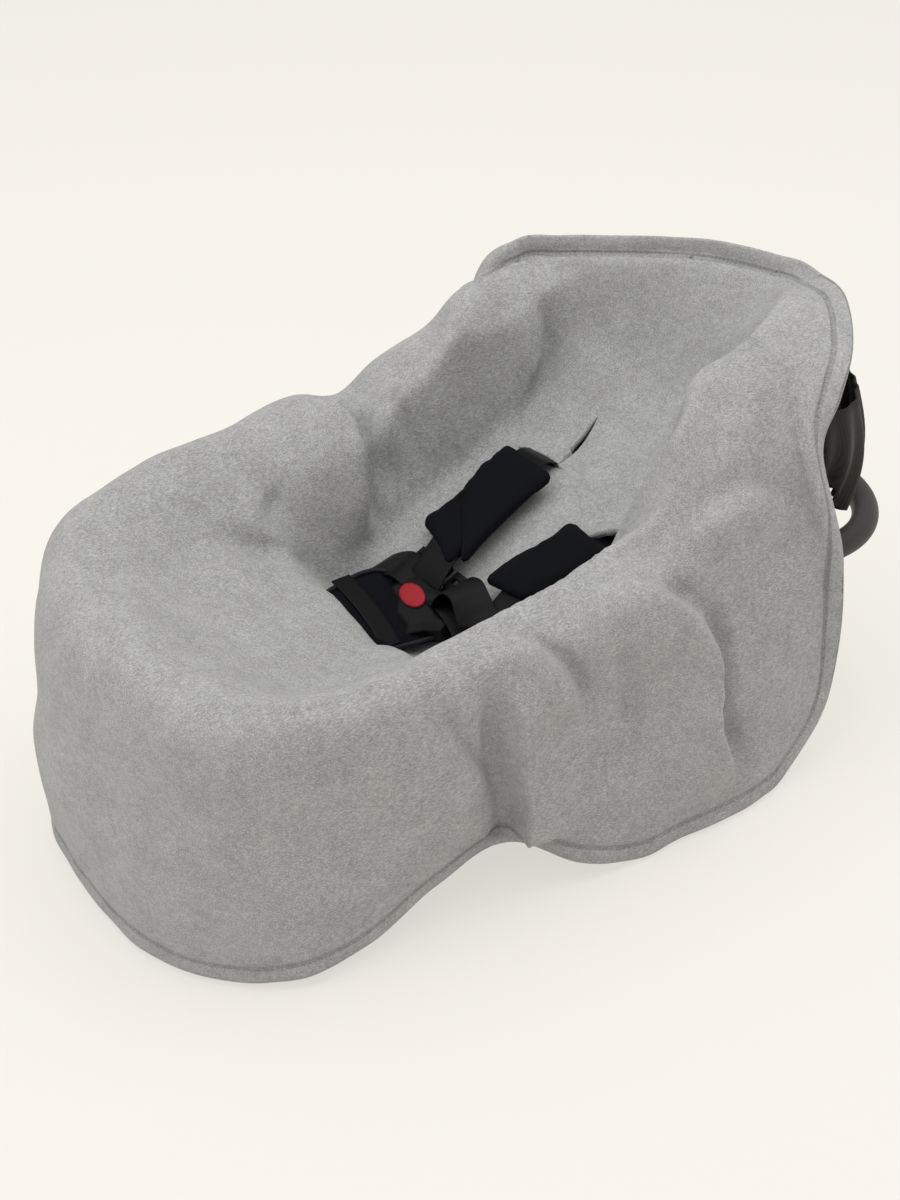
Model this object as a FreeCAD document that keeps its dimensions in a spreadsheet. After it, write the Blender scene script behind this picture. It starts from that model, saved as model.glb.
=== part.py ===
"""Infant car seat: shell, liner, cover, harness, carry handle and a wrap blanket laid over it.

The frame is in millimetres. +X is the child's left, +Y is towards the head, +Z is up and the
seat stands on Z = 0. Every driving size is a named cell of the sheet "Sizes".
"""
import FreeCAD, Part
import math
import os
import Sketcher
from FreeCAD import Placement, Rotation, Vector

X_AXIS = Vector(1, 0, 0)
Y_AXIS = Vector(0, 1, 0)
Z_AXIS = Vector(0, 0, 1)

# One row per driving size: alias, value.
SIZES = {
    # from the hub axis, about which the seat is drawn, to the middle of its footprint
    "origin_shift": 17.3,
    # seat shell at its top section, and its walls
    "shell_half_width": 172, "shell_front": 362, "shell_rear": 330, "shell_wall": 3.5,
    "cover_thick": 8, "blanket_thick": 8, "layer_gap": 0.3, "cover_drop": 1,
    "hem_thick": 27, "hem_low": 252, "hem_start": 110,
    # skids and the bars that a vehicle base grips
    "skid_x": 85, "skid_width": 24, "skid_front": 215, "skid_rear": 120, "skid_rise": 60,
    "foot_thick": 3, "foot_length": 40, "foot_width": 18, "foot_front": 140, "foot_rear": 20,
    "bar_radius": 5, "bar_half_length": 112, "bar_height": 12, "bar_front": 175, "bar_rear": 15,
    "bar_fit": 0.05, "screw_radius": 2.5, "screw_head": 5, "screw_head_low": 8,
    "screw_front": 100, "screw_rear": 45, "screw_fit": 0.1, "screw_head_thick": 3,
    "screw_head_fit": 0.5, "skid_corner": 30,
    # handle, hubs and release buttons, measured from the hub axis
    "hub_y": 0, "hub_height": 250, "handle_reach": 376, "handle_tilt": 4.4,
    "handle_corner": 110, "tube_radius": 13, "tube_wall": 2.5, "sweep_gap": 4,
    "boss_radius": 41, "boss_root": 52, "boss_stand": 12, "hub_gap": 1.5,
    "hub_radius": 46, "hub_width": 30, "pin_radius": 6, "pin_root": 4, "pin_fit": 0.05,
    "pin_head_radius": 11, "pin_head_thick": 3,
    "hub_web": 11.5, "pocket_radius": 20, "cap_radius": 43, "cap_thick": 3,
    "button_radius": 15, "button_flange": 19, "button_flange_thick": 3, "button_travel": 4,
    "button_fit": 0.3, "collar_radius": 17.5, "collar_start": 43, "collar_end": 80,
    "socket_start": 50, "socket_fit": 0.05, "grip_half_length": 55, "grip_thick": 2.5,
    "spring_inner": 12, "spring_outer": 16,
    # belt guides on the shell's sides
    "guide_y": 135, "guide_length": 60, "guide_low": 222, "guide_high": 266,
    "guide_stand": 22, "guide_root": 16, "guide_slot": 7, "guide_slot_x": 12, "guide_floor": 8,
    # buckle
    "buckle_y": 78, "buckle_height": 197, "buckle_tilt": 25, "buckle_half_width": 29,
    "buckle_half_length": 24, "buckle_corner": 12, "buckle_thick": 20, "buckle_low": 12,
    "buckle_round": 4,
    "oval_half_width": 12.5, "oval_half_length": 10.5, "oval_corner": 10.4, "oval_fit": 0.3,
    "oval_stand": 3, "oval_depth": 12, "oval_spring_room": 5, "coil_radius": 6, "coil_core": 4,
    "tongue_thick": 3, "tongue_width": 17, "tongue_x": 14, "tongue_in": 6, "tongue_out": 31,
    "tongue_level": 5, "tongue_lap": 3, "loop_rim": 1, "strap_play": 1, "strap_in": 4,
    "loop_width": 46, "loop_length": 20, "loop_slot": 6, "slot_play": 0.6, "loop_x": 27,
    # webbing, pads and harness adjuster
    "webbing_width": 38, "webbing_thick": 1.8, "webbing_gap": 0.4, "slit_gap": 2,
    "pad_width": 60, "pad_thick": 13, "crotch_pad_thick": 12,
    "slit_x": 65, "slit_in": 23, "slit_height": 262,
    "anchor_radius": 4, "anchor_half_length": 30, "anchor_x": 84, "anchor_y": 92,
    "anchor_room": 1.5, "crotch_plate_half_width": 30, "crotch_plate_length": 24,
    "crotch_plate_y": 142, "plate_room_side": 4, "plate_room_end": 2,
    "strap_rest": 0.6,
    "plate_half_width": 34, "plate_length": 22, "plate_thick": 2.5,
    "plate_in": 80, "plate_height": 188, "plate_tilt": 43,
    "adjuster_in": 107, "adjuster_height": 230, "adjuster_tilt": 36.87,
    "adjuster_half_width": 22, "adjuster_half_length": 20, "adjuster_depth": 18,
    "adjuster_sink": 9, "adjuster_wall": 4, "lever_thick": 4, "lever_pin": 1.6,
    "lever_pin_y": 11.5, "lever_play": 0.4, "lever_front": 1, "lever_short": 3,
    "spring_block": 8, "pocket_side": 3, "pocket_end": 5, "pocket_length": 60,
    "pocket_below": 1, "pocket_depth": 46,
    # seams of the blanket: the side flaps stand outside the shell, the ends beyond the middle
    "flap_out": 8, "foot_seam": 200, "head_seam": 200, "skirt_drop": 12, "under_lift": 2,
    # tools that cut right through: how far they reach
    "through": 60, "beyond": 500, "span": 300,
}

# Cross-sections from the bottom up. Each row is height, then how far the width, the front and
# the rear draw in from the shell's top section, then the corner radius.
# The lowest two of the hull and of the bowl keep their place from the hub axis when the shell's
# length changes, because the skids, anchors and the child's hips stay where they are.
HULL = [(22, 67, "=shell_front - 190", "=shell_rear - 30", 70),
        (100, 32, "=shell_front - 275", "=shell_rear - 140", 95),
        (200, 10, 27, 85, 115), (300, 2, 4, 22, 125), (410, 0, 0, 0, 130)]
BOWL = [(140, 87, "=shell_front - 130", "=shell_rear + 40", 44),
        (200, 60, "=shell_front - 215", "=shell_rear - 75", 60),
        (260, 44, 67, 155, 80), (330, 34, 32, 68, 95), (430, 26, 17, 18, 105)]
SKIRT = [(2, -78, -63, -58, 112), (150, -74, -60, -58, 112), (290, -61, -46, -58, 108),
         (430, -48, -34, -58, 104)]
# The slope that draws the padded rim down towards the child's legs, in the same terms.
SLOPE = [(252, 42, "=shell_front - 215", "=shell_rear + 40", 40),
         (312, -18, "=shell_front - 250", "=shell_rear + 8", 60)]
# Side view of the shell's rim and of the blanket's crest: distance along Y, height.
RIM = [(-440, 262), (-362, 268), (-200, 275), (-40, 288), (60, 315), (150, 360), (220, 378),
       (300, 360), (440, 330)]
CREST = [(-440, 284), (-362, 290), (-200, 297), (-20, 307), (60, 345), (150, 395), (220, 405),
         (340, 397), (440, 380)]
# Side view of the flaps' rear hem: distance along Y, height.
REAR_HEM = [("=shell_rear - 130", -20), ("=shell_rear - 45", 225), ("=shell_rear + 5", 290),
            ("=shell_rear + 20", 450), ("=shell_rear + 270", 450)]

# Places worked out from the driving sizes: alias, expression.
DERIVED = {
    "waist_bar_height": "hull_height_1 + shell_wall + anchor_radius",
    "hub_start": "shell_half_width + boss_stand + hub_gap",
    "hub_end": "hub_start + hub_width",
    "arm_x": "hub_start + hub_width / 2",
    "pin_start": "shell_half_width - pin_root",
    "pin_end": "hub_start + hub_web",
    "tongue_low": "buckle_thick / 2 - tongue_level",
    "oval_low": "buckle_thick - oval_depth + oval_spring_room",
    "flap_seam": "shell_half_width + flap_out",
    "boss_start": "shell_half_width - boss_root",
    "slit_y": "shell_rear - bowl_rear_3 - slit_in",
    "plate_y": "shell_rear - plate_in",
    "adjuster_y": "shell_front - adjuster_in",
}

# Heights beyond which nothing of the seat reaches, for the tools that cut off a side view.
FAR_ABOVE = 700
FAR_BELOW = -300

doc = FreeCAD.newDocument("InfantCarSeat")
sheet = doc.addObject("Spreadsheet::Sheet", "Sizes")
nodes = {}


def fill_sheet():
    """Write every driving size and every section's sizes into the sheet."""
    cells = dict(SIZES)
    for family, rows in (("hull", HULL), ("bowl", BOWL), ("slope", SLOPE), ("skirt", SKIRT)):
        for number, row in enumerate(rows, 1):
            for what, value in zip(("height", "narrow", "front", "rear", "corner"), row):
                cells[f"{family}_{what}_{number}"] = value
    for family, points in (("rim", RIM), ("crest", CREST), ("back", REAR_HEM)):
        for number, (along, height) in enumerate(points, 1):
            cells[f"{family}_along_{number}"] = along
            cells[f"{family}_height_{number}"] = height
    for alias, expression in DERIVED.items():
        cells[alias] = "=" + " ".join(expression.split())
    for row, (alias, value) in enumerate(cells.items(), 1):
        sheet.set(f"A{row}", alias)
        sheet.set(f"B{row}", str(value))
        sheet.setAlias(f"B{row}", alias)
    doc.recompute()


def size(alias):
    """The value of one cell."""
    return float(sheet.get(alias))


def bind(thing, **expressions):
    """Bind properties of an object to expressions in the sheet's aliases."""
    for path, expression in expressions.items():
        thing.setExpression(path.replace("__", "."), aliased(expression))
    return thing


def aliased(expression):
    """Turn bare aliases into references to the sheet."""
    words = expression.replace("(", " ( ").replace(")", " ) ").split()
    known = " ".join("Sizes." + w if w[0].isalpha() and w not in ("sin", "cos") else w
                     for w in words)
    return known.replace("sin (", "sin(").replace("cos (", "cos(")


def value_of(expression):
    """Evaluate an expression in the sheet's aliases."""
    found = sheet.evalExpression(aliased(expression))
    return float(getattr(found, "Value", found))


def put(thing, base=("0", "0", "0"), turn=None, axis=X_AXIS):
    """Place an object at a bound point, turned by a bound angle in degrees."""
    if turn is not None:
        thing.Placement = Placement(Vector(), Rotation(axis, value_of(turn)))
        thing.setExpression("Placement.Rotation.Angle", aliased(turn))
    for way, expression in zip("xyz", base):
        thing.setExpression(f"Placement.Base.{way}", aliased(expression))
    return thing


def node(label, thing):
    """Place a finished shape in the part's own frame, under its own name."""
    piece = doc.addObject("Part::Compound", label + "_piece")
    piece.Links = [thing]
    piece.Label = label
    nodes[label] = put(piece, ("0", "origin_shift", "0"))
    return thing


def box(name, low, length, turn=None, base=None):
    """A box between bound corners, or turned about X at a bound base point."""
    made = doc.addObject("Part::Box", name)
    bind(made, Length=length[0], Width=length[1], Height=length[2])
    return put(made, low) if turn is None else put(made, base, turn)


def rod(name, radius, length, base, axis="x"):
    """A cylinder that runs from a bound point along one axis."""
    made = doc.addObject("Part::Cylinder", name)
    bind(made, Radius=radius, Height=length)
    turns = {"x": Rotation(Y_AXIS, 90), "y": Rotation(X_AXIS, -90), "z": Rotation()}
    made.Placement = Placement(Vector(), turns[axis])
    return put(made, base)


def cut(name, base, *tools):
    """The base with every tool taken out of it."""
    for number, tool in enumerate(tools, 1):
        made = doc.addObject("Part::Cut", f"{name}_{number}")
        made.Base = base
        made.Tool = tool
        base = made
    return base


def fuse(name, *shapes):
    """Several overlapping objects as one."""
    made = doc.addObject("Part::MultiFuse", name)
    made.Shapes = list(shapes)
    return made


def common(name, *shapes):
    """What several objects share."""
    made = doc.addObject("Part::MultiCommon", name)
    made.Shapes = list(shapes)
    return made


def mirror(name, source):
    """The same piece on the child's right."""
    made = doc.addObject("Part::Mirroring", name)
    made.Source = source
    made.Normal = X_AXIS
    return made


def pair(label, left):
    """A piece on the left and its mirror image on the right."""
    node(label + "_left", left)
    return left, node(label + "_right", mirror(label + "_mirrored", left))


def rounded_rectangle(sketch, half_width, half_length, corner):
    """Draw a rounded rectangle about the sketch's origin, with its sizes bound."""
    w, v, c = value_of(half_width), value_of(half_length), value_of(corner)
    middles = [(w - c, -v + c), (w - c, v - c), (-w + c, v - c), (-w + c, -v + c)]
    starts = [(-w + c, -v), (w, -v + c), (w - c, v), (-w, v - c)]
    ends = [(w - c, -v), (w, v - c), (-w + c, v), (-w, -v + c)]
    for side in range(4):
        sketch.addGeometry(Part.LineSegment(Vector(*starts[side], 0), Vector(*ends[side], 0)))
        round_corner = Part.Circle(Vector(*middles[side], 0), Z_AXIS, c)
        first = math.radians(90 * side - 90)
        sketch.addGeometry(Part.ArcOfCircle(round_corner, first, first + math.pi / 2))
    for edge in range(8):
        sketch.addConstraint(Sketcher.Constraint("Tangent", edge, 2, (edge + 1) % 8, 1))
    for edge, way in ((0, "Horizontal"), (2, "Vertical"), (4, "Horizontal"), (6, "Vertical")):
        sketch.addConstraint(Sketcher.Constraint(way, edge))
    for edge in (3, 5, 7):
        sketch.addConstraint(Sketcher.Constraint("Equal", 1, edge))
    sizes = [("corner", Sketcher.Constraint("Radius", 1, c), corner),
             ("right", Sketcher.Constraint("DistanceX", -1, 1, 2, 1, w), half_width),
             ("left", Sketcher.Constraint("DistanceX", 6, 1, -1, 1, w), half_width),
             ("low", Sketcher.Constraint("DistanceY", 0, 1, -1, 1, v), half_length),
             ("high", Sketcher.Constraint("DistanceY", -1, 1, 4, 1, v), half_length)]
    for name, constraint, expression in sizes:
        number = sketch.addConstraint(constraint)
        sketch.renameConstraint(number, name)
        sketch.setExpression(f"Constraints.{name}", aliased(expression))


def tub(name, family, inset="0", lift=None):
    """A loft through one family's sections, drawn in on every side and raised as much."""
    lift = inset if lift is None else lift
    sections = []
    count = {"hull": len(HULL), "bowl": len(BOWL), "slope": len(SLOPE),
             "skirt": len(SKIRT)}[family]
    for number in range(1, count + 1):
        sketch = doc.addObject("Sketcher::SketchObject", f"{name}_section_{number}")
        front = f"shell_front - {family}_front_{number} - ( {inset} )"
        rear = f"shell_rear - {family}_rear_{number} - ( {inset} )"
        rounded_rectangle(sketch, f"shell_half_width - {family}_narrow_{number} - ( {inset} )",
                          f"( {front} + {rear} ) / 2", f"{family}_corner_{number} - ( {inset} )")
        put(sketch, ("0", f"( {rear} - ( {front} ) ) / 2", f"{family}_height_{number} + {lift}"))
        sections.append(sketch)
    made = doc.addObject("Part::Loft", name)
    made.Sections = sections
    made.Solid = True
    return made


def side_prism(name, family, far_height, lift="0"):
    """The space on one side of a side-view line, right across the seat."""
    count = {"rim": len(RIM), "crest": len(CREST), "back": len(REAR_HEM)}[family]
    sketch = doc.addObject("Sketcher::SketchObject", name + "_line")
    corners = [(size(f"{family}_along_{n}"), size(f"{family}_height_{n}"))
               for n in range(1, count + 1)]
    closing = [(corners[-1][0], far_height), (corners[0][0], far_height)]
    points = [Vector(along, height, 0) for along, height in corners + closing]
    for number, point in enumerate(points):
        sketch.addGeometry(Part.LineSegment(point, points[(number + 1) % len(points)]))
    for number in range(len(points)):
        following = (number + 1) % len(points)
        sketch.addConstraint(Sketcher.Constraint("Coincident", number, 2, following, 1))
    sketch.Placement = Placement(Vector(), Rotation(Vector(1, 1, 1), 120))
    sketch.setExpression("Placement.Base.z", aliased(lift))
    made = doc.addObject("Part::Extrusion", name)
    made.Base = sketch
    made.DirMode = "Custom"
    made.Dir = X_AXIS
    made.Symmetric = True
    made.Solid = True
    made.LengthFwd = 3 * size("span")
    return made


def ribbon_shape(points, width, thick, across=X_AXIS):
    """A flat strap through the points: a box for each run, and a round joint at each turn."""
    runs = []
    for first, last in zip(points, points[1:]):
        along = (last - first).normalize()
        side = (across - along * across.dot(along)).normalize()
        frame = Rotation(side, along, side.cross(along), "XYZ")
        run = Part.makeBox(width, (last - first).Length, thick)
        run.Placement = Placement(first + frame.multVec(Vector(-width / 2, 0, -thick / 2)), frame)
        joint = Part.makeCylinder(thick / 2, width, Vector(), X_AXIS)
        joint.Placement = Placement(last + frame.multVec(Vector(-width / 2, 0, 0)), frame)
        runs += [run, joint]
    runs.pop()
    return runs[0].multiFuse(runs[1:]) if len(runs) > 1 else runs[0]


def ribbon(name, points, width, thick, across=X_AXIS):
    """A strap as an object of the document."""
    made = doc.addObject("Part::Feature", name)
    made.Shape = ribbon_shape(points, width, thick, across)
    return made


def webbing(label, points, grow=0.0, across=X_AXIS):
    """A strap of the harness, or with a grown section the slot that it needs."""
    width = size("webbing_width") + 2 * grow
    return ribbon(label, points, width, size("webbing_thick") + 2 * grow, across)


def turned(point, origin, degrees):
    """A point of a frame that is tilted about X, in the seat's frame."""
    return origin + Rotation(X_AXIS, degrees).multVec(point)


def harness_routes():
    """Each strap's route, as hand-placed points tied to the pieces that it joins."""
    half_web = size("webbing_thick") / 2
    bottom = size("hull_height_1")
    front = size("shell_front")
    seat_bottom = size("bowl_height_1")
    buckle = Vector(0, -size("buckle_y"), size("buckle_height"))
    tilt = size("buckle_tilt")
    slot_y = size("tongue_out") + size("loop_length") / 2
    above_slot, in_slot = [turned(Vector(size("loop_x"), slot_y, up), buckle, tilt)
                           for up in (6, -5)]
    loop_edge = size("loop_x") + size("loop_width") / 2
    beside, clear_of_loop = [turned(Vector(loop_edge + out, slot_y, -5), buckle, tilt)
                             for out in (0.5, 8)]
    slit = Vector(size("slit_x"), size("slit_y"), size("slit_height"))
    plate = Vector(0, size("plate_y"), size("plate_height"))
    edge = size("plate_length") / 2 + size("layer_gap")
    upper = turned(Vector(0, edge, 0), plate, size("plate_tilt"))
    lower = turned(Vector(0, -edge, 0), plate, size("plate_tilt"))
    rear_exit = Vector(slit.x, size("shell_rear") - 42, slit.z - 22)
    waist_low = Vector(size("anchor_x"), -size("anchor_y"),
                       value_of("waist_bar_height + anchor_radius") + 0.5)
    under = bottom - half_web - 1.5
    adjuster = Vector(0, -size("adjuster_y"), size("adjuster_height"))
    depth = size("adjuster_sink") + size("adjuster_depth") + size("layer_gap")
    housing = turned(Vector(0, 0, -depth), adjuster, -size("adjuster_tilt"))
    return {
        "shoulder": [Vector(22, upper.y, upper.z), rear_exit, slit, above_slot, in_slot],
        "waist": [beside, clear_of_loop, Vector(78, -68, 188), Vector(90, -86, seat_bottom + 24),
                  Vector(waist_low.x, waist_low.y, seat_bottom - 30), waist_low],
        "crotch": [turned(Vector(0, -25, -3), buckle, tilt),
                   Vector(0, -128, 176), Vector(0, -140, seat_bottom + 8),
                   Vector(0, -size("crotch_plate_y"),
                          bottom + size("shell_wall") + size("plate_thick") + size("strap_rest"))],
        "adjuster": [housing, Vector(0, 38 - front, 166), Vector(0, 77 - front, 96),
                     Vector(0, 166 - front, under),
                     Vector(0, 36, under), Vector(0, 152, 96), lower],
    }


def mirrored(points):
    """The same route on the child's right."""
    return [Vector(-p.x, p.y, p.z) for p in points]


def screw_places():
    """Centres of the four skid screws, as expressions."""
    return [(x, y) for x in ("skid_x", "-1 * skid_x")
            for y in ("-1 * screw_front", "-1 * screw_rear")]


def tilted(place, across, along, up):
    """Base point of a box in the adjuster's tilted frame, as bound expressions."""
    return (across,
            f"-1 * {place}_y + ( {along} ) * cos ( {place}_tilt ) + ( {up} ) * sin ( {place}_tilt )",
            f"{place}_height - ( {along} ) * sin ( {place}_tilt ) + ( {up} ) * cos ( {place}_tilt )")


def handle_room(name):
    """The space inside the handle's sweep, all round the hub axis."""
    inner = "tube_radius + sweep_gap"
    half_width, reach = f"arm_x - ( {inner} )", f"handle_reach - ( {inner} )"
    corner = f"handle_corner - ( {inner} )"
    w, v, c = value_of(half_width), value_of(reach), value_of(corner)
    sketch = doc.addObject("Sketcher::SketchObject", name + "_outline")
    points = [Vector(-w, 0, 0), Vector(w, 0, 0), Vector(w, v - c, 0), Vector(w - c, v, 0),
              Vector(c - w, v, 0), Vector(-w, v - c, 0)]
    for first, last in ((0, 1), (1, 2), (3, 4), (5, 0)):
        sketch.addGeometry(Part.LineSegment(points[first], points[last]))
    for x, turn in ((w - c, 0), (c - w, math.pi / 2)):
        bend = Part.Circle(Vector(x, v - c, 0), Z_AXIS, c)
        sketch.addGeometry(Part.ArcOfCircle(bend, turn, turn + math.pi / 2))
    rules = [("Coincident", 0, 2, 1, 1), ("Coincident", 3, 2, 0, 1), ("Tangent", 1, 2, 4, 1),
             ("Tangent", 4, 2, 2, 1), ("Tangent", 2, 2, 5, 1), ("Tangent", 5, 2, 3, 1),
             ("Vertical", 1), ("Vertical", 3), ("Horizontal", 0), ("Horizontal", 2),
             ("Equal", 4, 5), ("PointOnObject", 0, 1, -1)]
    for rule in rules:
        sketch.addConstraint(Sketcher.Constraint(*rule))
    for label, rule, expression in (
            ("corner", ("Radius", 4, c), corner),
            ("right", ("DistanceX", -1, 1, 0, 2, w), half_width),
            ("left", ("DistanceX", 0, 1, -1, 1, w), half_width),
            ("reach", ("DistanceY", -1, 1, 2, 1, v), reach)):
        number = sketch.addConstraint(Sketcher.Constraint(*rule))
        sketch.renameConstraint(number, label)
        sketch.setExpression(f"Constraints.{label}", aliased(expression))
    made = doc.addObject("Part::Revolution", name)
    made.Source = sketch
    made.Axis = X_AXIS
    made.Angle = 360
    made.Solid = True
    return put(made, ("0", "hub_y", "hub_height"))


def build_shell(routes):
    """Moulded shell with its side bosses, cut for the straps, pins and screws."""
    outer = tub("shell_outer", "hull")
    boss = rod("boss", "boss_radius", "boss_root + boss_stand",
               ("boss_start", "hub_y", "hub_height"))
    bosses = fuse("shell_mass", outer, boss, mirror("boss_right", boss))
    inner = tub("shell_inner", "hull", "shell_wall")
    above = side_prism("above_rim", "rim", FAR_ABOVE)
    hole = rod("pin_hole", "pin_radius + pin_fit", "through", ("pin_start", "hub_y", "hub_height"))
    slots = [webbing(f"shell_slot_{n}", route, size("webbing_gap"))
             for n, route in enumerate((routes["shoulder"], mirrored(routes["shoulder"]),
                                        routes["adjuster"]), 1)]
    screws = [rod(f"shell_screw_hole_{n}", "screw_radius + screw_fit", "through", (x, y, "0"), "z")
              for n, (x, y) in enumerate(screw_places(), 1)]
    return node("seat_shell", cut("shell_cut", bosses, inner, above, hole,
                                  mirror("pin_hole_right", hole), *slots, *screws))


def crotch_plate(name, side, end):
    """The crotch strap's anchor plate on the shell's floor, grown for the room that it needs."""
    return box(name, (f"-1 * crotch_plate_half_width - {side}",
                      f"-1 * crotch_plate_y - crotch_plate_length / 2 - {end}",
                      "hull_height_1 + shell_wall"),
               (f"2 * crotch_plate_half_width + 2 * {side}", f"crotch_plate_length + 2 * {end}",
                f"plate_thick + {end}"))


def strap_slots(name, routes, grow, adjuster=True):
    """The room that every strap needs through a layer of the seat."""
    runs = [(routes[what], X_AXIS) for what in ("shoulder", "crotch")]
    runs += [(mirrored(routes["shoulder"]), X_AXIS), (routes["waist"], Y_AXIS),
             (mirrored(routes["waist"]), Y_AXIS)]
    if adjuster:
        runs.append((routes["adjuster"], X_AXIS))
    return [webbing(f"{name}_slot_{number}", route, grow, across)
            for number, (route, across) in enumerate(runs, 1)]


def build_layers(routes):
    """Foam liner, seat cover and the cover's gathered hem round the back of the shell."""
    above = side_prism("above_cover", "rim", FAR_ABOVE, "-1 * cover_drop")
    pocket = box("adjuster_pocket", None,
                 ("2 * adjuster_half_width + 2 * pocket_side", "pocket_length", "pocket_depth"),
                 "-1 * adjuster_tilt",
                 tilted("adjuster", "-1 * adjuster_half_width - pocket_side",
                        "-1 * adjuster_half_length - pocket_end",
                        "-1 * adjuster_depth - adjuster_sink - pocket_below"))
    bar_room = rod("waist_bar_room", "anchor_radius + anchor_room",
                   "2 * anchor_half_length + 4 * anchor_room",
                   ("anchor_x", "-1 * anchor_y - anchor_half_length - 2 * anchor_room",
                    "waist_bar_height"), "y")
    bar_rooms = [bar_room, mirror("waist_bar_room_right", bar_room)]
    plate_room = crotch_plate("crotch_plate_room", "plate_room_side", "plate_room_end")

    outer = tub("liner_outer", "hull", "shell_wall + layer_gap")
    room = tub("liner_room", "bowl", "-1 * cover_thick - layer_gap")
    slots = strap_slots("liner", routes, size("webbing_gap"))
    node("foam_liner", cut("liner_cut", outer, room, tub("liner_slope", "slope"), above, pocket,
                           plate_room, *bar_rooms, *slots))

    cover = tub("cover_outer", "bowl", "-1 * cover_thick")
    seat = tub("cover_room", "bowl")
    slots = strap_slots("cover", routes, size("webbing_gap"))
    node("seat_cover", cut("cover_cut", cover, seat, tub("cover_slope", "slope"), above, pocket,
                           *slots))

    far = tub("hem_outer", "hull", "-1 * hem_thick")
    near = tub("hem_inner", "hull", "-1 * layer_gap")
    band = box("hem_band", ("-1 * span", "hem_start", "hem_low"), ("2 * span", "beyond", "span"))
    hem = common("hem_common", far, band, handle_room("hem_room"))
    node("cover_hem", cut("hem_cut", hem, near, side_prism("above_hem", "rim", FAR_ABOVE)))


def build_blanket(routes):
    """The wrap blanket as five soft solids that meet at its seams: one real sheet."""
    outer = tub("skirt_outer", "skirt")
    below_crest = cut("below_crest", outer, side_prism("above_crest", "crest", FAR_ABOVE))
    under = cut("under_blanket", tub("skirt_inner", "skirt", "blanket_thick", "-1 * skirt_drop"),
                side_prism("above_under", "rim", FAR_ABOVE, "under_lift"),
                tub("bowl_room", "bowl", "layer_gap"), tub("slope_room", "slope", "layer_gap"))
    hollow = tub("blanket_room", "bowl", "layer_gap + blanket_thick")
    above_slope = tub("above_slope", "slope", "layer_gap + 0.7 * blanket_thick")
    rear = side_prism("behind_flaps", "back", FAR_BELOW)
    whole = cut("blanket_whole", below_crest, under, hollow, above_slope, rear,
                *strap_slots("blanket", routes, size("slit_gap"), False))

    middle = box("middle_part", ("-1 * flap_seam", "-1 * beyond", "-1 * through"),
                 ("2 * flap_seam", "2 * beyond", "2 * beyond"))
    inside = common("blanket_middle", whole, middle, handle_room("blanket_space"))
    front = box("front_part", ("-1 * span", "-1 * beyond", "-1 * through"),
                ("2 * span", "beyond - foot_seam", "2 * beyond"))
    back = box("back_part", ("-1 * span", "head_seam", "-1 * through"),
               ("2 * span", "beyond", "2 * beyond"))
    centre = box("centre_part", ("-1 * span", "-1 * foot_seam", "-1 * through"),
                 ("2 * span", "foot_seam + head_seam", "2 * beyond"))
    node("blanket_foot", common("blanket_foot_raw", whole, middle, front))
    node("blanket_seat", common("blanket_seat_raw", inside, centre))
    node("blanket_hood", common("blanket_hood_raw", inside, back))
    side = box("side_part", ("flap_seam", "-1 * beyond", "-1 * through"),
               ("span", "2 * beyond", "2 * beyond"))
    pair("blanket_flap", common("flap_raw", whole, side))


def build_base():
    """Skids with their rubber feet and screws, and the steel bars for a vehicle base."""
    shell = tub("skid_room", "hull", "-1 * layer_gap")
    raw = box("skid_raw", ("skid_x - skid_width / 2", "-1 * skid_front", "foot_thick"),
              ("skid_width", "skid_front + skid_rear", "skid_rise"))
    rounded = doc.addObject("Part::Fillet", "skid_rounded")
    rounded.Base = raw
    doc.recompute()
    ends = [number for number, edge in enumerate(raw.Shape.Edges, 1)
            if edge.BoundBox.XLength > 1 and abs(edge.CenterOfMass.z - size("foot_thick")) < 0.1]
    rounded.Edges = [(number, size("skid_corner"), size("skid_corner")) for number in ends]
    bars = [rod(f"skid_bar_hole_{n}", "bar_radius + bar_fit", "through",
                ("skid_x - through / 2", y, "bar_height"))
            for n, y in enumerate(("-1 * bar_front", "bar_rear"), 1)]
    holes = []
    for number, y in enumerate(("-1 * screw_front", "-1 * screw_rear"), 1):
        holes.append(rod(f"skid_screw_{number}", "screw_radius + screw_fit", "through",
                         ("skid_x", y, "0"), "z"))
        holes.append(rod(f"skid_head_{number}", "screw_head + screw_head_fit",
                         "screw_head_low + screw_head_thick + screw_fit",
                         ("skid_x", y, "0"), "z"))
    pair("skid", cut("skid_cut", rounded, shell, *bars, *holes))

    feet = []
    for number, y in enumerate(("-1 * foot_front - foot_length / 2",
                                "foot_rear - foot_length / 2"), 1):
        feet.append(box(f"foot_{number}", ("skid_x - foot_width / 2", y, "0"),
                        ("foot_width", "foot_length", "foot_thick")))
    left = doc.addObject("Part::Compound", "feet_left")
    left.Links = feet
    both = doc.addObject("Part::Compound", "feet_all")
    both.Links = [left, mirror("feet_right", left)]
    node("rubber_feet", both)

    screws = []
    for number, (x, y) in enumerate(screw_places(), 1):
        head = rod(f"screw_head_{number}", "screw_head", "screw_head_thick",
                   (x, y, "screw_head_low"), "z")
        shank = rod(f"screw_shank_{number}", "screw_radius",
                    "hull_height_1 + shell_wall - screw_head_low - 1",
                    (x, y, "screw_head_low + 1"), "z")
        screws.append(fuse(f"screw_{number}", head, shank))
    group = doc.addObject("Part::Compound", "screws_all")
    group.Links = screws
    node("skid_screws", group)

    for label, y in (("front_anchor_bar", "-1 * bar_front"), ("rear_anchor_bar", "bar_rear")):
        node(label, rod(label + "_rod", "bar_radius", "2 * bar_half_length",
                        ("-1 * bar_half_length", y, "bar_height")))


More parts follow.
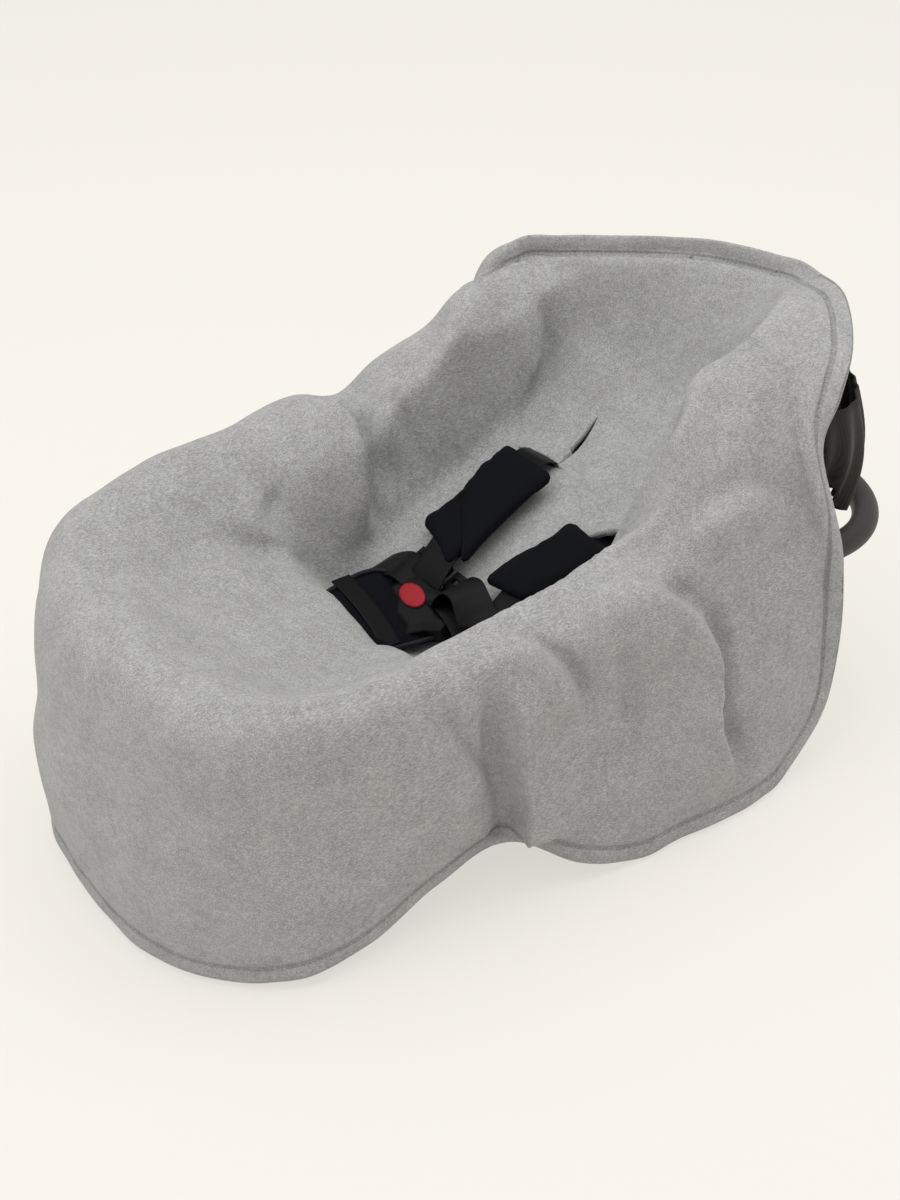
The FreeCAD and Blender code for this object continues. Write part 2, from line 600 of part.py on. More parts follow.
def build_guides():
    """Hooks on the shell's sides for a vehicle's lap belt."""
    block = box("guide_block", ("shell_half_width - guide_root", "-1 * guide_y - guide_length / 2",
                                "guide_low"),
                ("guide_stand + guide_root", "guide_length", "guide_high - guide_low"))
    slot = box("guide_slot_cut", ("shell_half_width + guide_slot_x", "-1 * guide_y - guide_length",
                                  "guide_low + guide_floor"),
               ("guide_slot", "2 * guide_length", "guide_high"))
    pair("belt_guide", cut("guide_cut", block, tub("guide_room", "hull", "-1 * layer_gap"), slot))


def build_handle():
    """Carry handle: a bent tube, its grip, and a hub, cap, button and spring at each end."""
    pin = fuse("pin_fused", rod("pin_shank", "pin_radius", "pin_end - pin_start",
                                ("pin_start", "hub_y", "hub_height")),
               rod("pin_head", "pin_head_radius", "pin_head_thick",
                   ("pin_end", "hub_y", "hub_height")))
    pair("pivot_pin", pin)

    path = doc.addObject("Sketcher::SketchObject", "handle_path")
    x, reach, c = value_of("arm_x"), size("handle_reach"), size("handle_corner")
    start = size("socket_start")
    points = [(x, start), (x, reach - c), (x - c, reach), (c - x, reach), (-x, reach - c),
              (-x, start)]
    for first, last in ((0, 1), (2, 3), (4, 5)):
        path.addGeometry(Part.LineSegment(Vector(*points[first], 0), Vector(*points[last], 0)))
    for centre, turn in ((x - c, 0), (c - x, 90)):
        bend = Part.Circle(Vector(centre, reach - c, 0), Z_AXIS, c)
        path.addGeometry(Part.ArcOfCircle(bend, math.radians(turn), math.radians(turn + 90)))
    tubes = []
    for name, radius in (("bar_outside", "tube_radius"), ("bar_inside", "tube_radius - tube_wall")):
        ring = doc.addObject("Part::Circle", name + "_ring")
        bind(ring, Radius=radius)
        ring.Placement = Placement(Vector(), Rotation(X_AXIS, 90))
        put(ring, ("arm_x", "socket_start", "0"))
        sweep = doc.addObject("Part::Sweep", name)
        sweep.Sections = [ring]
        sweep.Spine = (path, ["Edge1", "Edge4", "Edge2", "Edge5", "Edge3"])
        sweep.Solid = True
        tubes.append(sweep)
    swing(node("handle_bar", cut("bar_cut", *tubes)))
    grip = rod("grip_outside", "tube_radius + grip_thick", "2 * grip_half_length",
               ("-1 * grip_half_length", "handle_reach", "0"))
    hole = rod("grip_hole", "tube_radius + socket_fit", "4 * grip_half_length",
               ("-2 * grip_half_length", "handle_reach", "0"))
    swing(node("handle_grip", cut("grip_cut", grip, hole)))

    disc = rod("hub_disc", "hub_radius", "hub_width", ("hub_start", "0", "0"))
    collar = rod("hub_collar", "collar_radius", "collar_end - collar_start",
                 ("arm_x", "collar_start", "0"), "y")
    socket = rod("hub_socket", "tube_radius + socket_fit", "2 * through",
                 ("arm_x", "socket_start - layer_gap", "0"), "y")
    bore = rod("hub_bore", "pin_radius + pin_fit", "through", ("hub_start - pin_root", "0", "0"))
    pocket = rod("hub_pocket", "pocket_radius", "through", ("hub_start + hub_web", "0", "0"))
    hub = swing(cut("hub_cut", fuse("hub_fused", disc, collar), socket, bore, pocket))
    pair("hub", hub)
    cap = rod("cap_disc", "cap_radius", "cap_thick", ("hub_end", "0", "0"))
    cap_hole = rod("cap_hole", "button_radius + button_fit", "through", ("hub_start", "0", "0"))
    pair("hub_cap", swing(cut("cap_cut", cap, cap_hole)))

    flange = rod("button_flange_disc", "button_flange", "button_flange_thick",
                 ("hub_end - layer_gap - button_flange_thick", "0", "0"))
    stem = rod("button_stem", "button_radius",
               "layer_gap + cap_thick + button_travel + button_flange_thick",
               ("hub_end - layer_gap - button_flange_thick", "0", "0"))
    pair("release_button", swing(fuse("button_fused", flange, stem)))
    spring_low = "pin_end + pin_head_thick + layer_gap"
    spring_length = "hub_end - button_flange_thick - 3 * layer_gap - pin_end - pin_head_thick"
    coil = rod("spring_outside", "spring_outer", spring_length, (spring_low, "0", "0"))
    middle = rod("spring_inside", "spring_inner", "through", ("hub_start", "0", "0"))
    pair("release_spring", swing(cut("spring_cut", coil, middle)))


def swing(piece):
    """Place a piece of the handle: built along +Y about its hub axis, then tilted back."""
    return put(piece, ("0", "hub_y", "hub_height"), "-1 * handle_tilt")


def build_buckle():
    """Harness buckle with its oval button, two tongues and the spring under the button."""
    body = doc.addObject("PartDesign::Body", "BuckleBody")
    plane = next(f for f in body.Origin.OriginFeatures if f.Role == "XY_Plane")
    outline = body.newObject("Sketcher::SketchObject", "BuckleOutline")
    outline.AttachmentSupport = [(plane, "")]
    outline.MapMode = "FlatFace"
    rounded_rectangle(outline, "buckle_half_width", "buckle_half_length", "buckle_corner")
    pad = body.newObject("PartDesign::Pad", "BuckleThickness")
    pad.Profile = outline
    bind(pad, Length="buckle_thick")
    doc.recompute()
    softened = body.newObject("PartDesign::Fillet", "BuckleEdges")
    tops = [f"Edge{n}" for n, edge in enumerate(pad.Shape.Edges, 1)
            if edge.BoundBox.ZLength < 0.01]
    softened.Base = (pad, tops)
    bind(softened, Radius="buckle_round")
    doc.recompute()
    well = body.newObject("Sketcher::SketchObject", "ButtonWell")
    well.AttachmentSupport = [(plane, "")]
    well.MapMode = "FlatFace"
    rounded_rectangle(well, "oval_half_width + oval_fit", "oval_half_length + oval_fit",
                      "oval_corner + oval_fit")
    well.setExpression("AttachmentOffset.Base.z", aliased("buckle_thick"))
    pocket = body.newObject("PartDesign::Pocket", "ButtonPocket")
    pocket.Profile = well
    bind(pocket, Length="oval_depth")
    doc.recompute()
    openings = []
    for number, x in enumerate(("tongue_x", "-1 * tongue_x"), 1):
        openings.append(box(f"tongue_opening_{number}",
                            (f"{x} - tongue_width / 2 - layer_gap", "tongue_in - layer_gap",
                             "tongue_low - layer_gap"),
                            ("tongue_width + 2 * layer_gap", "through",
                             "tongue_thick + 2 * layer_gap")))
    strap_slot = box("crotch_strap_slot",
                     ("-1 * webbing_width / 2 - strap_play", "-1 * through", "tongue_low - strap_play"),
                     ("webbing_width + 2 * strap_play", "through - buckle_half_length + strap_in",
                      "webbing_thick + 3 * strap_play"))
    fasten(node("buckle_body", cut("buckle_cut", body, *openings, strap_slot)))

    outline = doc.addObject("Sketcher::SketchObject", "button_outline")
    rounded_rectangle(outline, "oval_half_width", "oval_half_length", "oval_corner")
    put(outline, ("0", "0", "oval_low"))
    button = doc.addObject("Part::Extrusion", "oval_button")
    button.Base = outline
    button.DirMode = "Normal"
    button.Solid = True
    bind(button, LengthFwd="buckle_thick + oval_stand - oval_low")
    fasten(node("buckle_button", button))
    coil = rod("buckle_coil", "coil_radius", "oval_low - buckle_thick + oval_depth - 2 * layer_gap",
               ("0", "0", "buckle_thick - oval_depth + layer_gap"), "z")
    core = rod("buckle_coil_core", "coil_core", "through", ("0", "0", "0"), "z")
    fasten(node("buckle_spring", cut("buckle_spring_cut", coil, core)))

    blade = box("tongue_blade", ("tongue_x - tongue_width / 2", "tongue_in", "tongue_low"),
                ("tongue_width", "tongue_out - tongue_in + tongue_lap", "tongue_thick"))
    loop = box("tongue_loop", ("-1 * loop_width / 2", "0", "tongue_low - loop_rim"),
               ("loop_width", "loop_length", "tongue_thick + 2 * loop_rim"))
    slot = box("tongue_slot", ("-1 * webbing_width / 2 - slot_play",
                               "loop_length / 2 - loop_slot / 2", "-1 * through"),
               ("webbing_width + 2 * slot_play", "loop_slot", "2 * through"))
    frame = cut("tongue_frame", loop, slot)
    put(frame, ("loop_x", "tongue_out", "0"))
    pair("buckle_tongue", fasten(fuse("tongue_fused", blade, frame)))


def fasten(piece):
    """Place a piece of the buckle: built flat about the buckle's centre, then tilted."""
    low = "buckle_low"
    return put(piece, ("0", f"-1 * buckle_y + {low} * sin ( buckle_tilt )",
                       f"buckle_height - {low} * cos ( buckle_tilt )"), "buckle_tilt")


def build_harness(routes):
    """Webbing, pads, the plate that joins the straps behind the shell, and the anchors."""
    sleeve = size("webbing_gap")
    splitter = [box(name, None,
                    (f"2 * plate_half_width + 2 * ( {gap} )", f"plate_length + 2 * ( {gap} )",
                     f"plate_thick + 2 * ( {gap} )"), "plate_tilt",
                    (f"-1 * plate_half_width - {gap}",
                     f"plate_y - ( plate_length / 2 + {gap} ) * cos ( plate_tilt )"
                     f" + ( plate_thick / 2 + {gap} ) * sin ( plate_tilt )",
                     f"plate_height - ( plate_length / 2 + {gap} ) * sin ( plate_tilt )"
                     f" - ( plate_thick / 2 + {gap} ) * cos ( plate_tilt )"))
                for name, gap in (("splitter_box", "0"), ("splitter_room", "layer_gap"))]
    node("splitter_plate", splitter[0])
    for side, flip in (("left", list), ("right", mirrored)):
        upper = webbing(f"shoulder_web_{side}", flip(routes["shoulder"]))
        node(f"shoulder_strap_{side}", cut(f"shoulder_cut_{side}", upper, splitter[1]))
        node(f"waist_strap_{side}", webbing(f"waist_web_{side}", flip(routes["waist"]), 0.0, Y_AXIS))
    node("crotch_strap", webbing("crotch_web", routes["crotch"]))
    node("adjuster_strap", cut("adjuster_cut", webbing("adjuster_web", routes["adjuster"]),
                               splitter[1]))

    run = routes["shoulder"][2:4]
    for side, ends in (("left", run), ("right", mirrored(run))):
        first, last = ends
        pad = ribbon(f"pad_{side}", [first + (last - first) * share for share in (0.13, 0.66)],
                     size("pad_width"), size("pad_thick"))
        node(f"shoulder_pad_{side}", cut(f"pad_cut_{side}", pad,
                                         webbing(f"pad_slot_{side}", ends, sleeve)))
    crotch_pad = ribbon("crotch_pad_raw", [Vector(0, -110, 182), Vector(0, -130, 187),
                                           Vector(0, -168, 200)],
                        size("pad_width"), size("crotch_pad_thick"))
    node("crotch_pad", cut("crotch_pad_cut", crotch_pad,
                           webbing("crotch_pad_slot", routes["crotch"], sleeve)))

    bar = rod("waist_bar", "anchor_radius", "2 * anchor_half_length",
              ("anchor_x", "-1 * anchor_y - anchor_half_length", "waist_bar_height"), "y")
    pair("waist_anchor", bar)
    node("crotch_anchor_plate", crotch_plate("crotch_plate", "0", "0"))


def build_adjuster():
    """Harness adjuster in the seat's front edge: housing, sprung lever and its pin."""
    half_width, half_length = "adjuster_half_width", "adjuster_half_length"
    top = "-1 * adjuster_sink"

    def block(name, low, length):
        return box(name, None, length, "-1 * adjuster_tilt", tilted("adjuster", *low))

    case = block("housing_block", (f"-1 * {half_width}", f"-1 * {half_length}",
                                   f"{top} - adjuster_depth"),
                 (f"2 * {half_width}", f"2 * {half_length}", "adjuster_depth"))
    well = block("housing_well", (f"-1 * {half_width} + adjuster_wall",
                                  f"-1 * {half_length} + adjuster_wall",
                                  f"{top} - adjuster_depth + adjuster_wall"),
                 (f"2 * {half_width} - 2 * adjuster_wall", f"2 * {half_length} - 2 * adjuster_wall",
                  "adjuster_depth"))
    pin_at = tilted("adjuster", f"-1 * {half_width}", "-1 * lever_pin_y", f"{top} - lever_thick / 2")
    pin_hole = rod("housing_pin_hole", "lever_pin + pin_fit", f"2 * {half_width}", pin_at)
    node("adjuster_housing", cut("housing_cut", case, well, pin_hole))
    node("adjuster_pin", rod("adjuster_pin_rod", "lever_pin", f"2 * {half_width}", pin_at))
    lever = block("lever_block", (f"-1 * {half_width} + adjuster_wall + lever_play",
                                  f"-1 * {half_length} + adjuster_wall + lever_front",
                                  f"{top} - lever_thick"),
                  (f"2 * {half_width} - 2 * adjuster_wall - 2 * lever_play",
                   f"2 * {half_length} - 2 * adjuster_wall - lever_short", "lever_thick"))
    lever_hole = rod("lever_hole", "lever_pin + pin_fit", f"2 * {half_width}", pin_at)
    node("adjuster_lever", cut("lever_cut", lever, lever_hole))
    spring = block("lever_spring", ("-1 * spring_block / 2", "spring_block / 4",
                                    f"{top} - adjuster_depth + adjuster_wall + layer_gap"),
                   ("spring_block", "spring_block",
                    "adjuster_depth - adjuster_wall - lever_thick - 2 * layer_gap"))
    node("adjuster_spring", spring)


def check_and_write():
    """Stop at any failed object or bad shape, then write one STEP file for each sub-part."""
    doc.recompute()
    failed = [o.Name for o in doc.Objects if {"Invalid", "Error"} & set(o.State)]
    bad = [label for label, piece in nodes.items()
           if piece.Shape.isNull() or not piece.Shape.isValid() or not piece.Shape.Solids]
    if failed or bad:
        raise RuntimeError(f"failed objects {failed}, bad shapes {bad}")
    os.makedirs("parts", exist_ok=True)
    for label, piece in nodes.items():
        if piece.Label != label:
            raise RuntimeError(f"{label} was renamed to {piece.Label}")
        piece.Shape.exportStep(f"parts/{label}.step")
        print(label, len(piece.Shape.Solids), round(piece.Shape.Volume / 1000, 2), "cm3")


fill_sheet()
strap_routes = harness_routes()
build_shell(strap_routes)
build_layers(strap_routes)
build_blanket(strap_routes)
build_base()
build_guides()
build_handle()
build_buckle()
build_harness(strap_routes)
build_adjuster()
check_and_write()
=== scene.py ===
# %% [markdown]
# # Infant car seat with a wrap blanket
# The seat is a moulded shell with a harness and a carry handle that folds back behind the head.
# A thick fleece wrap lies over all of it, with slits for the harness. This lesson dresses the
# CAD frame: it keeps the hard parts, gives them finishes, and makes every soft part anew.

# %% Load the frame
import math

import bmesh
import bpy
import numpy as np
from mathutils import Matrix, Vector, noise


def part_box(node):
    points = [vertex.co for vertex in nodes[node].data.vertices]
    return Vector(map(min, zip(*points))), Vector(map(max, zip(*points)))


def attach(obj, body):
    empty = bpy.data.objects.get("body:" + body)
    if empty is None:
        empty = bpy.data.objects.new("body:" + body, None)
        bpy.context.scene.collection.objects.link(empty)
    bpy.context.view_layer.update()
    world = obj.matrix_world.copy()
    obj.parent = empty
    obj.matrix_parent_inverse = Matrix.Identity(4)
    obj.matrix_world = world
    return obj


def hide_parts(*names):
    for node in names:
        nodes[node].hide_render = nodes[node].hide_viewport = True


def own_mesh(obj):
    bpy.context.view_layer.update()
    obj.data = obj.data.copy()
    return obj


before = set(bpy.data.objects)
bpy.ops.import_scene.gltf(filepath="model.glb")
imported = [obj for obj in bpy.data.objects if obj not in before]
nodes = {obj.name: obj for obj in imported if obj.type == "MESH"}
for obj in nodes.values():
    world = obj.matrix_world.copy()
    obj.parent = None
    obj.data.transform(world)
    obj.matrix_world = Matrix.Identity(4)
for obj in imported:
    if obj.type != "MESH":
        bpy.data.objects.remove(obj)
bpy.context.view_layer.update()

# %% [markdown]
# A seat maker measures from the axis that the handle turns on, so this script does too. All
# lengths below are millimetres from that axis along the seat, from its middle plane across it,
# and from the ground up. One helper turns them into metres in the shared frame.

# %% Measure from the handle's axis
MM = 0.001
hub_low, hub_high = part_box("hub_cap_left")
AXIS_Y = (hub_low.y + hub_high.y) / 2


def at(x, y, z):
    """A place on the seat, from millimetres to the shared frame."""
    return Vector((x * MM, y * MM + AXIS_Y, z * MM))


def all_at(points):
    """Many places at once, as rows of an array."""
    return np.asarray(points, float) * MM + np.array([0.0, AXIS_Y, 0.0])


print("handle axis at Y", round(AXIS_Y, 4), "m")

# %% [markdown]
# The camera comes first, so that every piece can be judged from the same place. It stands at the
# seat's left, a little towards the foot, and looks down on the harness through a long lens.

# %% Camera
LOOKED_AT = at(-95, 35, 100)
TURN, RAISE, AWAY = math.radians(53), math.radians(35), 2.0
towards_camera = Vector((math.sin(TURN) * math.cos(RAISE), -math.cos(TURN) * math.cos(RAISE),
                         math.sin(RAISE)))
camera = bpy.data.objects.new("camera", bpy.data.cameras.new("camera"))
camera.data.sensor_width = 36
camera.data.lens = 58.8
camera.data.clip_start, camera.data.clip_end = 0.05, 50
camera.location = LOOKED_AT + towards_camera * AWAY
camera.rotation_mode = "QUATERNION"
camera.rotation_quaternion = (-towards_camera).to_track_quat("-Z", "Y")
bpy.context.scene.collection.objects.link(camera)
bpy.context.scene.camera = camera
print("camera at", [round(v, 3) for v in camera.location])

# %% [markdown]
# ## Finishes
# Each finish is a few shared effects put together. An effect, such as fibres, a weave or the
# grain of a mould, is a node group that gives out a colour, a mask or a height. The shader stays
# in the material, and it gets its constants on its own sockets. These helpers keep that short.

# %% Helpers for node groups and materials
KINDS = {"value": "NodeSocketFloat", "colour": "NodeSocketColor", "vector": "NodeSocketVector"}


def effect(name, inputs, outputs):
    """A new node group with its named sockets, and the nodes that hold them."""
    group = bpy.data.node_groups.new(name, "ShaderNodeTree")
    for label, kind, value in inputs:
        socket = group.interface.new_socket(name=label, in_out="INPUT", socket_type=KINDS[kind])
        if value is not None:
            socket.default_value = value
    for label, kind in outputs:
        group.interface.new_socket(name=label, in_out="OUTPUT", socket_type=KINDS[kind])
    return group, group.nodes.new("NodeGroupInput"), group.nodes.new("NodeGroupOutput")


def put_in(tree, socket, value):
    """Set a socket, or link another node's output to it."""
    if isinstance(value, bpy.types.NodeSocket):
        tree.links.new(value, socket)
    elif value is not None:
        socket.default_value = value


def maths(tree, operation, first, second=None, third=None, clamp=False):
    """The output of a Math node."""
    node = tree.nodes.new("ShaderNodeMath")
    node.operation = operation
    node.use_clamp = clamp
    for socket, value in zip(node.inputs, (first, second, third)):
        put_in(tree, socket, value)
    return node.outputs[0]


def remap(tree, value, low, high, new_low=0.0, new_high=1.0):
    """The output of a Map Range node that eases between two values."""
    node = tree.nodes.new("ShaderNodeMapRange")
    node.interpolation_type = "SMOOTHSTEP"
    for name, number in (("Value", value), ("From Min", low), ("From Max", high),
                         ("To Min", new_low), ("To Max", new_high)):
        put_in(tree, node.inputs[name], number)
    return node.outputs["Result"]


def noise_at(tree, place, scale, detail=4.0, roughness=0.6, stretch=None, turn=None):
    """The output of a Noise Texture, on coordinates that may be stretched and turned."""
    if stretch or turn:
        mapping = tree.nodes.new("ShaderNodeMapping")
        put_in(tree, mapping.inputs["Vector"], place)
        put_in(tree, mapping.inputs["Scale"], stretch)
        put_in(tree, mapping.inputs["Rotation"], turn)
        place = mapping.outputs["Vector"]
    node = tree.nodes.new("ShaderNodeTexNoise")
    for name, number in (("Vector", place), ("Scale", scale), ("Detail", detail),
                         ("Roughness", roughness)):
        put_in(tree, node.inputs[name], number)
    return node.outputs["Fac"]


def mixed(tree, share, first, second):
    """The output of a Mix node between two colours."""
    node = tree.nodes.new("ShaderNodeMix")
    node.data_type = "RGBA"
    for number, value in ((0, share), (6, first), (7, second)):
        put_in(tree, node.inputs[number], value)
    return node.outputs[2]


def grey(level, warm=0.0):
    """A grey of one level, warmer or cooler."""
    return (level * (1 + warm), level, level * (1 - warm), 1.0)


# %% Fleece fibres
fleece_fibres, ask, give = effect(
    "fleece_fibres", [("Place", "vector", None), ("Dark", "colour", grey(0.2)),
                      ("Light", "colour", grey(0.5)), ("Fibres Per Metre", "value", 900.0)],
    [("Color", "colour"), ("Height", "value")])
tree = fleece_fibres
place, per_metre = ask.outputs["Place"], ask.outputs["Fibres Per Metre"]
strands = None
for turn in ((0.3, 0.5, 0.2), (1.2, 0.4, 1.1), (0.6, 1.3, 2.2)):
    strand = noise_at(tree, place, per_metre, 2.0, 0.5, (1.0, 0.22, 1.0), turn)
    strands = strand if strands is None else maths(tree, "MAXIMUM", strands, strand)
speck = noise_at(tree, place, maths(tree, "MULTIPLY", per_metre, 0.9), 5.0, 0.8)
clump = noise_at(tree, place, maths(tree, "MULTIPLY", per_metre, 0.16), 3.0, 0.6)
cloud = noise_at(tree, place, maths(tree, "MULTIPLY", per_metre, 0.03), 2.0, 0.5)
tone = maths(tree, "ADD", maths(tree, "MULTIPLY", remap(tree, strands, 0.48, 0.74), 0.42),
             maths(tree, "MULTIPLY", remap(tree, speck, 0.32, 0.70), 0.34))
tone = maths(tree, "ADD", tone, maths(tree, "MULTIPLY", remap(tree, clump, 0.34, 0.66), 0.12))
tone = maths(tree, "ADD", tone, maths(tree, "MULTIPLY", remap(tree, cloud, 0.3, 0.7), 0.08))
put_in(tree, give.inputs["Color"], mixed(tree, tone, ask.outputs["Dark"], ask.outputs["Light"]))
put_in(tree, give.inputs["Height"], maths(tree, "ADD", maths(tree, "MULTIPLY", strands, 0.7),
                                          maths(tree, "MULTIPLY", clump, 0.6)))
print("made", tree.name, "with", len(tree.nodes), "nodes")

# %% Sewn edge band
# A line of stitches runs beside the edge. The mesh carries each point's distance to the edge, and
# how far along the edge it is, so the stitches follow the hem wherever the cloth goes.
sewn_band, ask, give = effect(
    "sewn_band", [("From Edge", "value", 1.0), ("Along Edge", "value", 0.0),
                  ("Band Width", "value", 0.018), ("Stitch Length", "value", 0.0045)],
    [("Height", "value"), ("Thread", "value")])
tree = sewn_band
away = maths(tree, "ABSOLUTE", maths(tree, "SUBTRACT", ask.outputs["From Edge"],
                                     ask.outputs["Band Width"]))
groove = remap(tree, away, 0.0, 0.0035, 1.0, 0.0)
beat = maths(tree, "FRACT", maths(tree, "DIVIDE", ask.outputs["Along Edge"],
                                  ask.outputs["Stitch Length"]))
pulled = remap(tree, maths(tree, "ABSOLUTE", maths(tree, "SUBTRACT", beat, 0.5)), 0.25, 0.45)
thread = maths(tree, "MULTIPLY", remap(tree, away, 0.0, 0.0009, 1.0, 0.0),
               maths(tree, "SUBTRACT", 1.0, pulled))
tightness = maths(tree, "ADD", 0.75, maths(tree, "MULTIPLY", pulled, 0.25))
put_in(tree, give.inputs["Height"], maths(tree, "MULTIPLY", groove, tightness))
put_in(tree, give.inputs["Thread"], thread)
print("made", tree.name, "with", len(tree.nodes), "nodes")

# %% Woven and moulded surfaces
woven, ask, give = effect(
    "woven", [("Place", "vector", None), ("Threads Per Metre", "value", 1500.0),
              ("Dark", "colour", grey(0.01)), ("Light", "colour", grey(0.05)),
              ("Twill", "value", 0.0)], [("Color", "colour"), ("Height", "value")])
tree = woven
apart = tree.nodes.new("ShaderNodeSeparateXYZ")
put_in(tree, apart.inputs[0], ask.outputs["Place"])
pitch = maths(tree, "MULTIPLY", ask.outputs["Threads Per Metre"], math.pi)
across = maths(tree, "MULTIPLY", apart.outputs["X"], pitch)
along = maths(tree, "MULTIPLY", maths(tree, "ADD", apart.outputs["Y"],
                                      maths(tree, "MULTIPLY", apart.outputs["X"],
                                            ask.outputs["Twill"])), pitch)
over = maths(tree, "MULTIPLY", maths(tree, "SINE", across), maths(tree, "SINE", along))
lift = remap(tree, over, -1.0, 1.0)
fluff = noise_at(tree, ask.outputs["Place"], 420.0, 4.0, 0.7)
tone = maths(tree, "ADD", maths(tree, "MULTIPLY", lift, 0.6), maths(tree, "MULTIPLY", fluff, 0.45))
put_in(tree, give.inputs["Color"], mixed(tree, tone, ask.outputs["Dark"], ask.outputs["Light"]))
put_in(tree, give.inputs["Height"], maths(tree, "ADD", lift, maths(tree, "MULTIPLY", fluff, 0.3)))

moulded, ask, give = effect(
    "moulded", [("Place", "vector", None), ("Grain Per Metre", "value", 1400.0),
                ("Colour", "colour", grey(0.02)), ("Worn", "colour", grey(0.06)),
                ("Roughness", "value", 0.45)],
    [("Color", "colour"), ("Height", "value"), ("Roughness", "value")])
tree = moulded
cells = tree.nodes.new("ShaderNodeTexVoronoi")
put_in(tree, cells.inputs["Vector"], ask.outputs["Place"])
put_in(tree, cells.inputs["Scale"], ask.outputs["Grain Per Metre"])
handled = noise_at(tree, ask.outputs["Place"], 24.0, 4.0, 0.6)
scuffs = noise_at(tree, ask.outputs["Place"], 90.0, 3.0, 0.7, (1.0, 7.0, 1.0), (0.4, 0.2, 0.7))
marks = maths(tree, "MULTIPLY", remap(tree, scuffs, 0.62, 0.78), remap(tree, handled, 0.45, 0.7))
put_in(tree, give.inputs["Color"],
       mixed(tree, maths(tree, "ADD", maths(tree, "MULTIPLY", marks, 0.5),
                         maths(tree, "MULTIPLY", remap(tree, handled, 0.3, 0.7), 0.16)),
             ask.outputs["Colour"], ask.outputs["Worn"]))
put_in(tree, give.inputs["Height"], cells.outputs["Distance"])
put_in(tree, give.inputs["Roughness"],
       maths(tree, "ADD", ask.outputs["Roughness"],
             maths(tree, "MULTIPLY", maths(tree, "SUBTRACT", handled, 0.5), 0.25)))
print("made", woven.name, "and", moulded.name)

# %% [markdown]
# A material is one Principled shader, one effect and one bump. The effect is read at Object
# coordinates on plain pieces, and at the piece's own UV map on straps, whose threads follow them.


# %% Make the materials
def finish_of(name, group, values, bump, roughness=0.8, uv=None, sheen=0.0, coat=0.0, metal=0.0,
              specular=0.3):
    """A material from one effect, with its own values, and the tree to add to."""
    material = bpy.data.materials.new(name)
    material.use_nodes = True
    tree = material.node_tree
    shader = tree.nodes["Principled BSDF"]
    where = tree.nodes.new("ShaderNodeUVMap" if uv else "ShaderNodeTexCoord")
    if uv:
        where.uv_map = uv
    effect_node = tree.nodes.new("ShaderNodeGroup")
    effect_node.node_tree = group
    put_in(tree, effect_node.inputs["Place"], where.outputs["UV" if uv else "Object"])
    for label, value in values.items():
        effect_node.inputs[label].default_value = value
    bump_node = tree.nodes.new("ShaderNodeBump")
    bump_node.inputs["Strength"].default_value = bump[0]
    bump_node.inputs["Distance"].default_value = bump[1]
    tree.links.new(effect_node.outputs["Height"], bump_node.inputs["Height"])
    tree.links.new(bump_node.outputs["Normal"], shader.inputs["Normal"])
    tree.links.new(effect_node.outputs["Color"], shader.inputs["Base Color"])
    shader.inputs["Roughness"].default_value = roughness
    if "Roughness" in effect_node.outputs:
        tree.links.new(effect_node.outputs["Roughness"], shader.inputs["Roughness"])
    shader.inputs["Metallic"].default_value = metal
    shader.inputs["Specular IOR Level"].default_value = specular
    shader.inputs["Sheen Weight"].default_value = sheen
    shader.inputs["Sheen Roughness"].default_value = 0.5
    shader.inputs["Coat Weight"].default_value = coat
    return material


fleece = finish_of("heather_fleece", fleece_fibres,
                   {"Dark": grey(0.16), "Light": grey(0.55), "Fibres Per Metre": 1150.0},
                   (0.5, 0.0014), 0.95, sheen=0.15, specular=0.12)
tree = fleece.node_tree
band = tree.nodes.new("ShaderNodeGroup")
band.node_tree = sewn_band
for label, name in (("From Edge", "from_edge"), ("Along Edge", "along_edge")):
    reader = tree.nodes.new("ShaderNodeAttribute")
    reader.attribute_name = name
    put_in(tree, band.inputs[label], reader.outputs["Fac"])
sunk = tree.nodes.new("ShaderNodeBump")
sunk.invert = True
sunk.inputs["Strength"].default_value = 1.0
sunk.inputs["Distance"].default_value = 0.003
put_in(tree, sunk.inputs["Height"], band.outputs["Height"])
fibre_bump = next(n for n in tree.nodes if n.type == "BUMP" and n != sunk)
put_in(tree, fibre_bump.inputs["Normal"], sunk.outputs["Normal"])
shader = tree.nodes["Principled BSDF"]
fibre_colour = shader.inputs["Base Color"].links[0].from_socket
put_in(tree, shader.inputs["Base Color"],
       mixed(tree, maths(tree, "MULTIPLY", band.outputs["Thread"], 0.5), fibre_colour, grey(0.16)))

pad_knit = finish_of("padded_knit", woven, {"Threads Per Metre": 1100.0, "Twill": 0.0,
                                            "Dark": (0.002, 0.0022, 0.003, 1),
                                            "Light": (0.0065, 0.007, 0.0095, 1)},
                     (0.25, 0.0004), 0.9, sheen=0.01, specular=0.05)
pad_piping = finish_of("pad_piping", woven, {"Threads Per Metre": 700.0,
                                             "Dark": (0.003, 0.003, 0.004, 1),
                                             "Light": (0.012, 0.013, 0.016, 1)},
                       (0.3, 0.0004), 0.6, specular=0.2)
strap_weave = finish_of("strap_webbing", woven, {"Threads Per Metre": 900.0, "Twill": 1.0,
                                                 "Dark": (0.002, 0.002, 0.0025, 1),
                                                 "Light": (0.0045, 0.0048, 0.006, 1)},
                        (0.4, 0.0004), 0.34, uv="strap", specular=0.1)
cover_cloth = finish_of("cover_cloth", woven, {"Threads Per Metre": 800.0, "Twill": 0.5,
                                               "Dark": (0.010, 0.008, 0.007, 1),
                                               "Light": (0.034, 0.028, 0.024, 1)},
                        (0.3, 0.0006), 0.85, sheen=0.1, specular=0.2)
shell_plastic = finish_of("shell_plastic", moulded, {"Colour": grey(0.022), "Worn": grey(0.05)},
                          (0.25, 0.0002), specular=0.4)
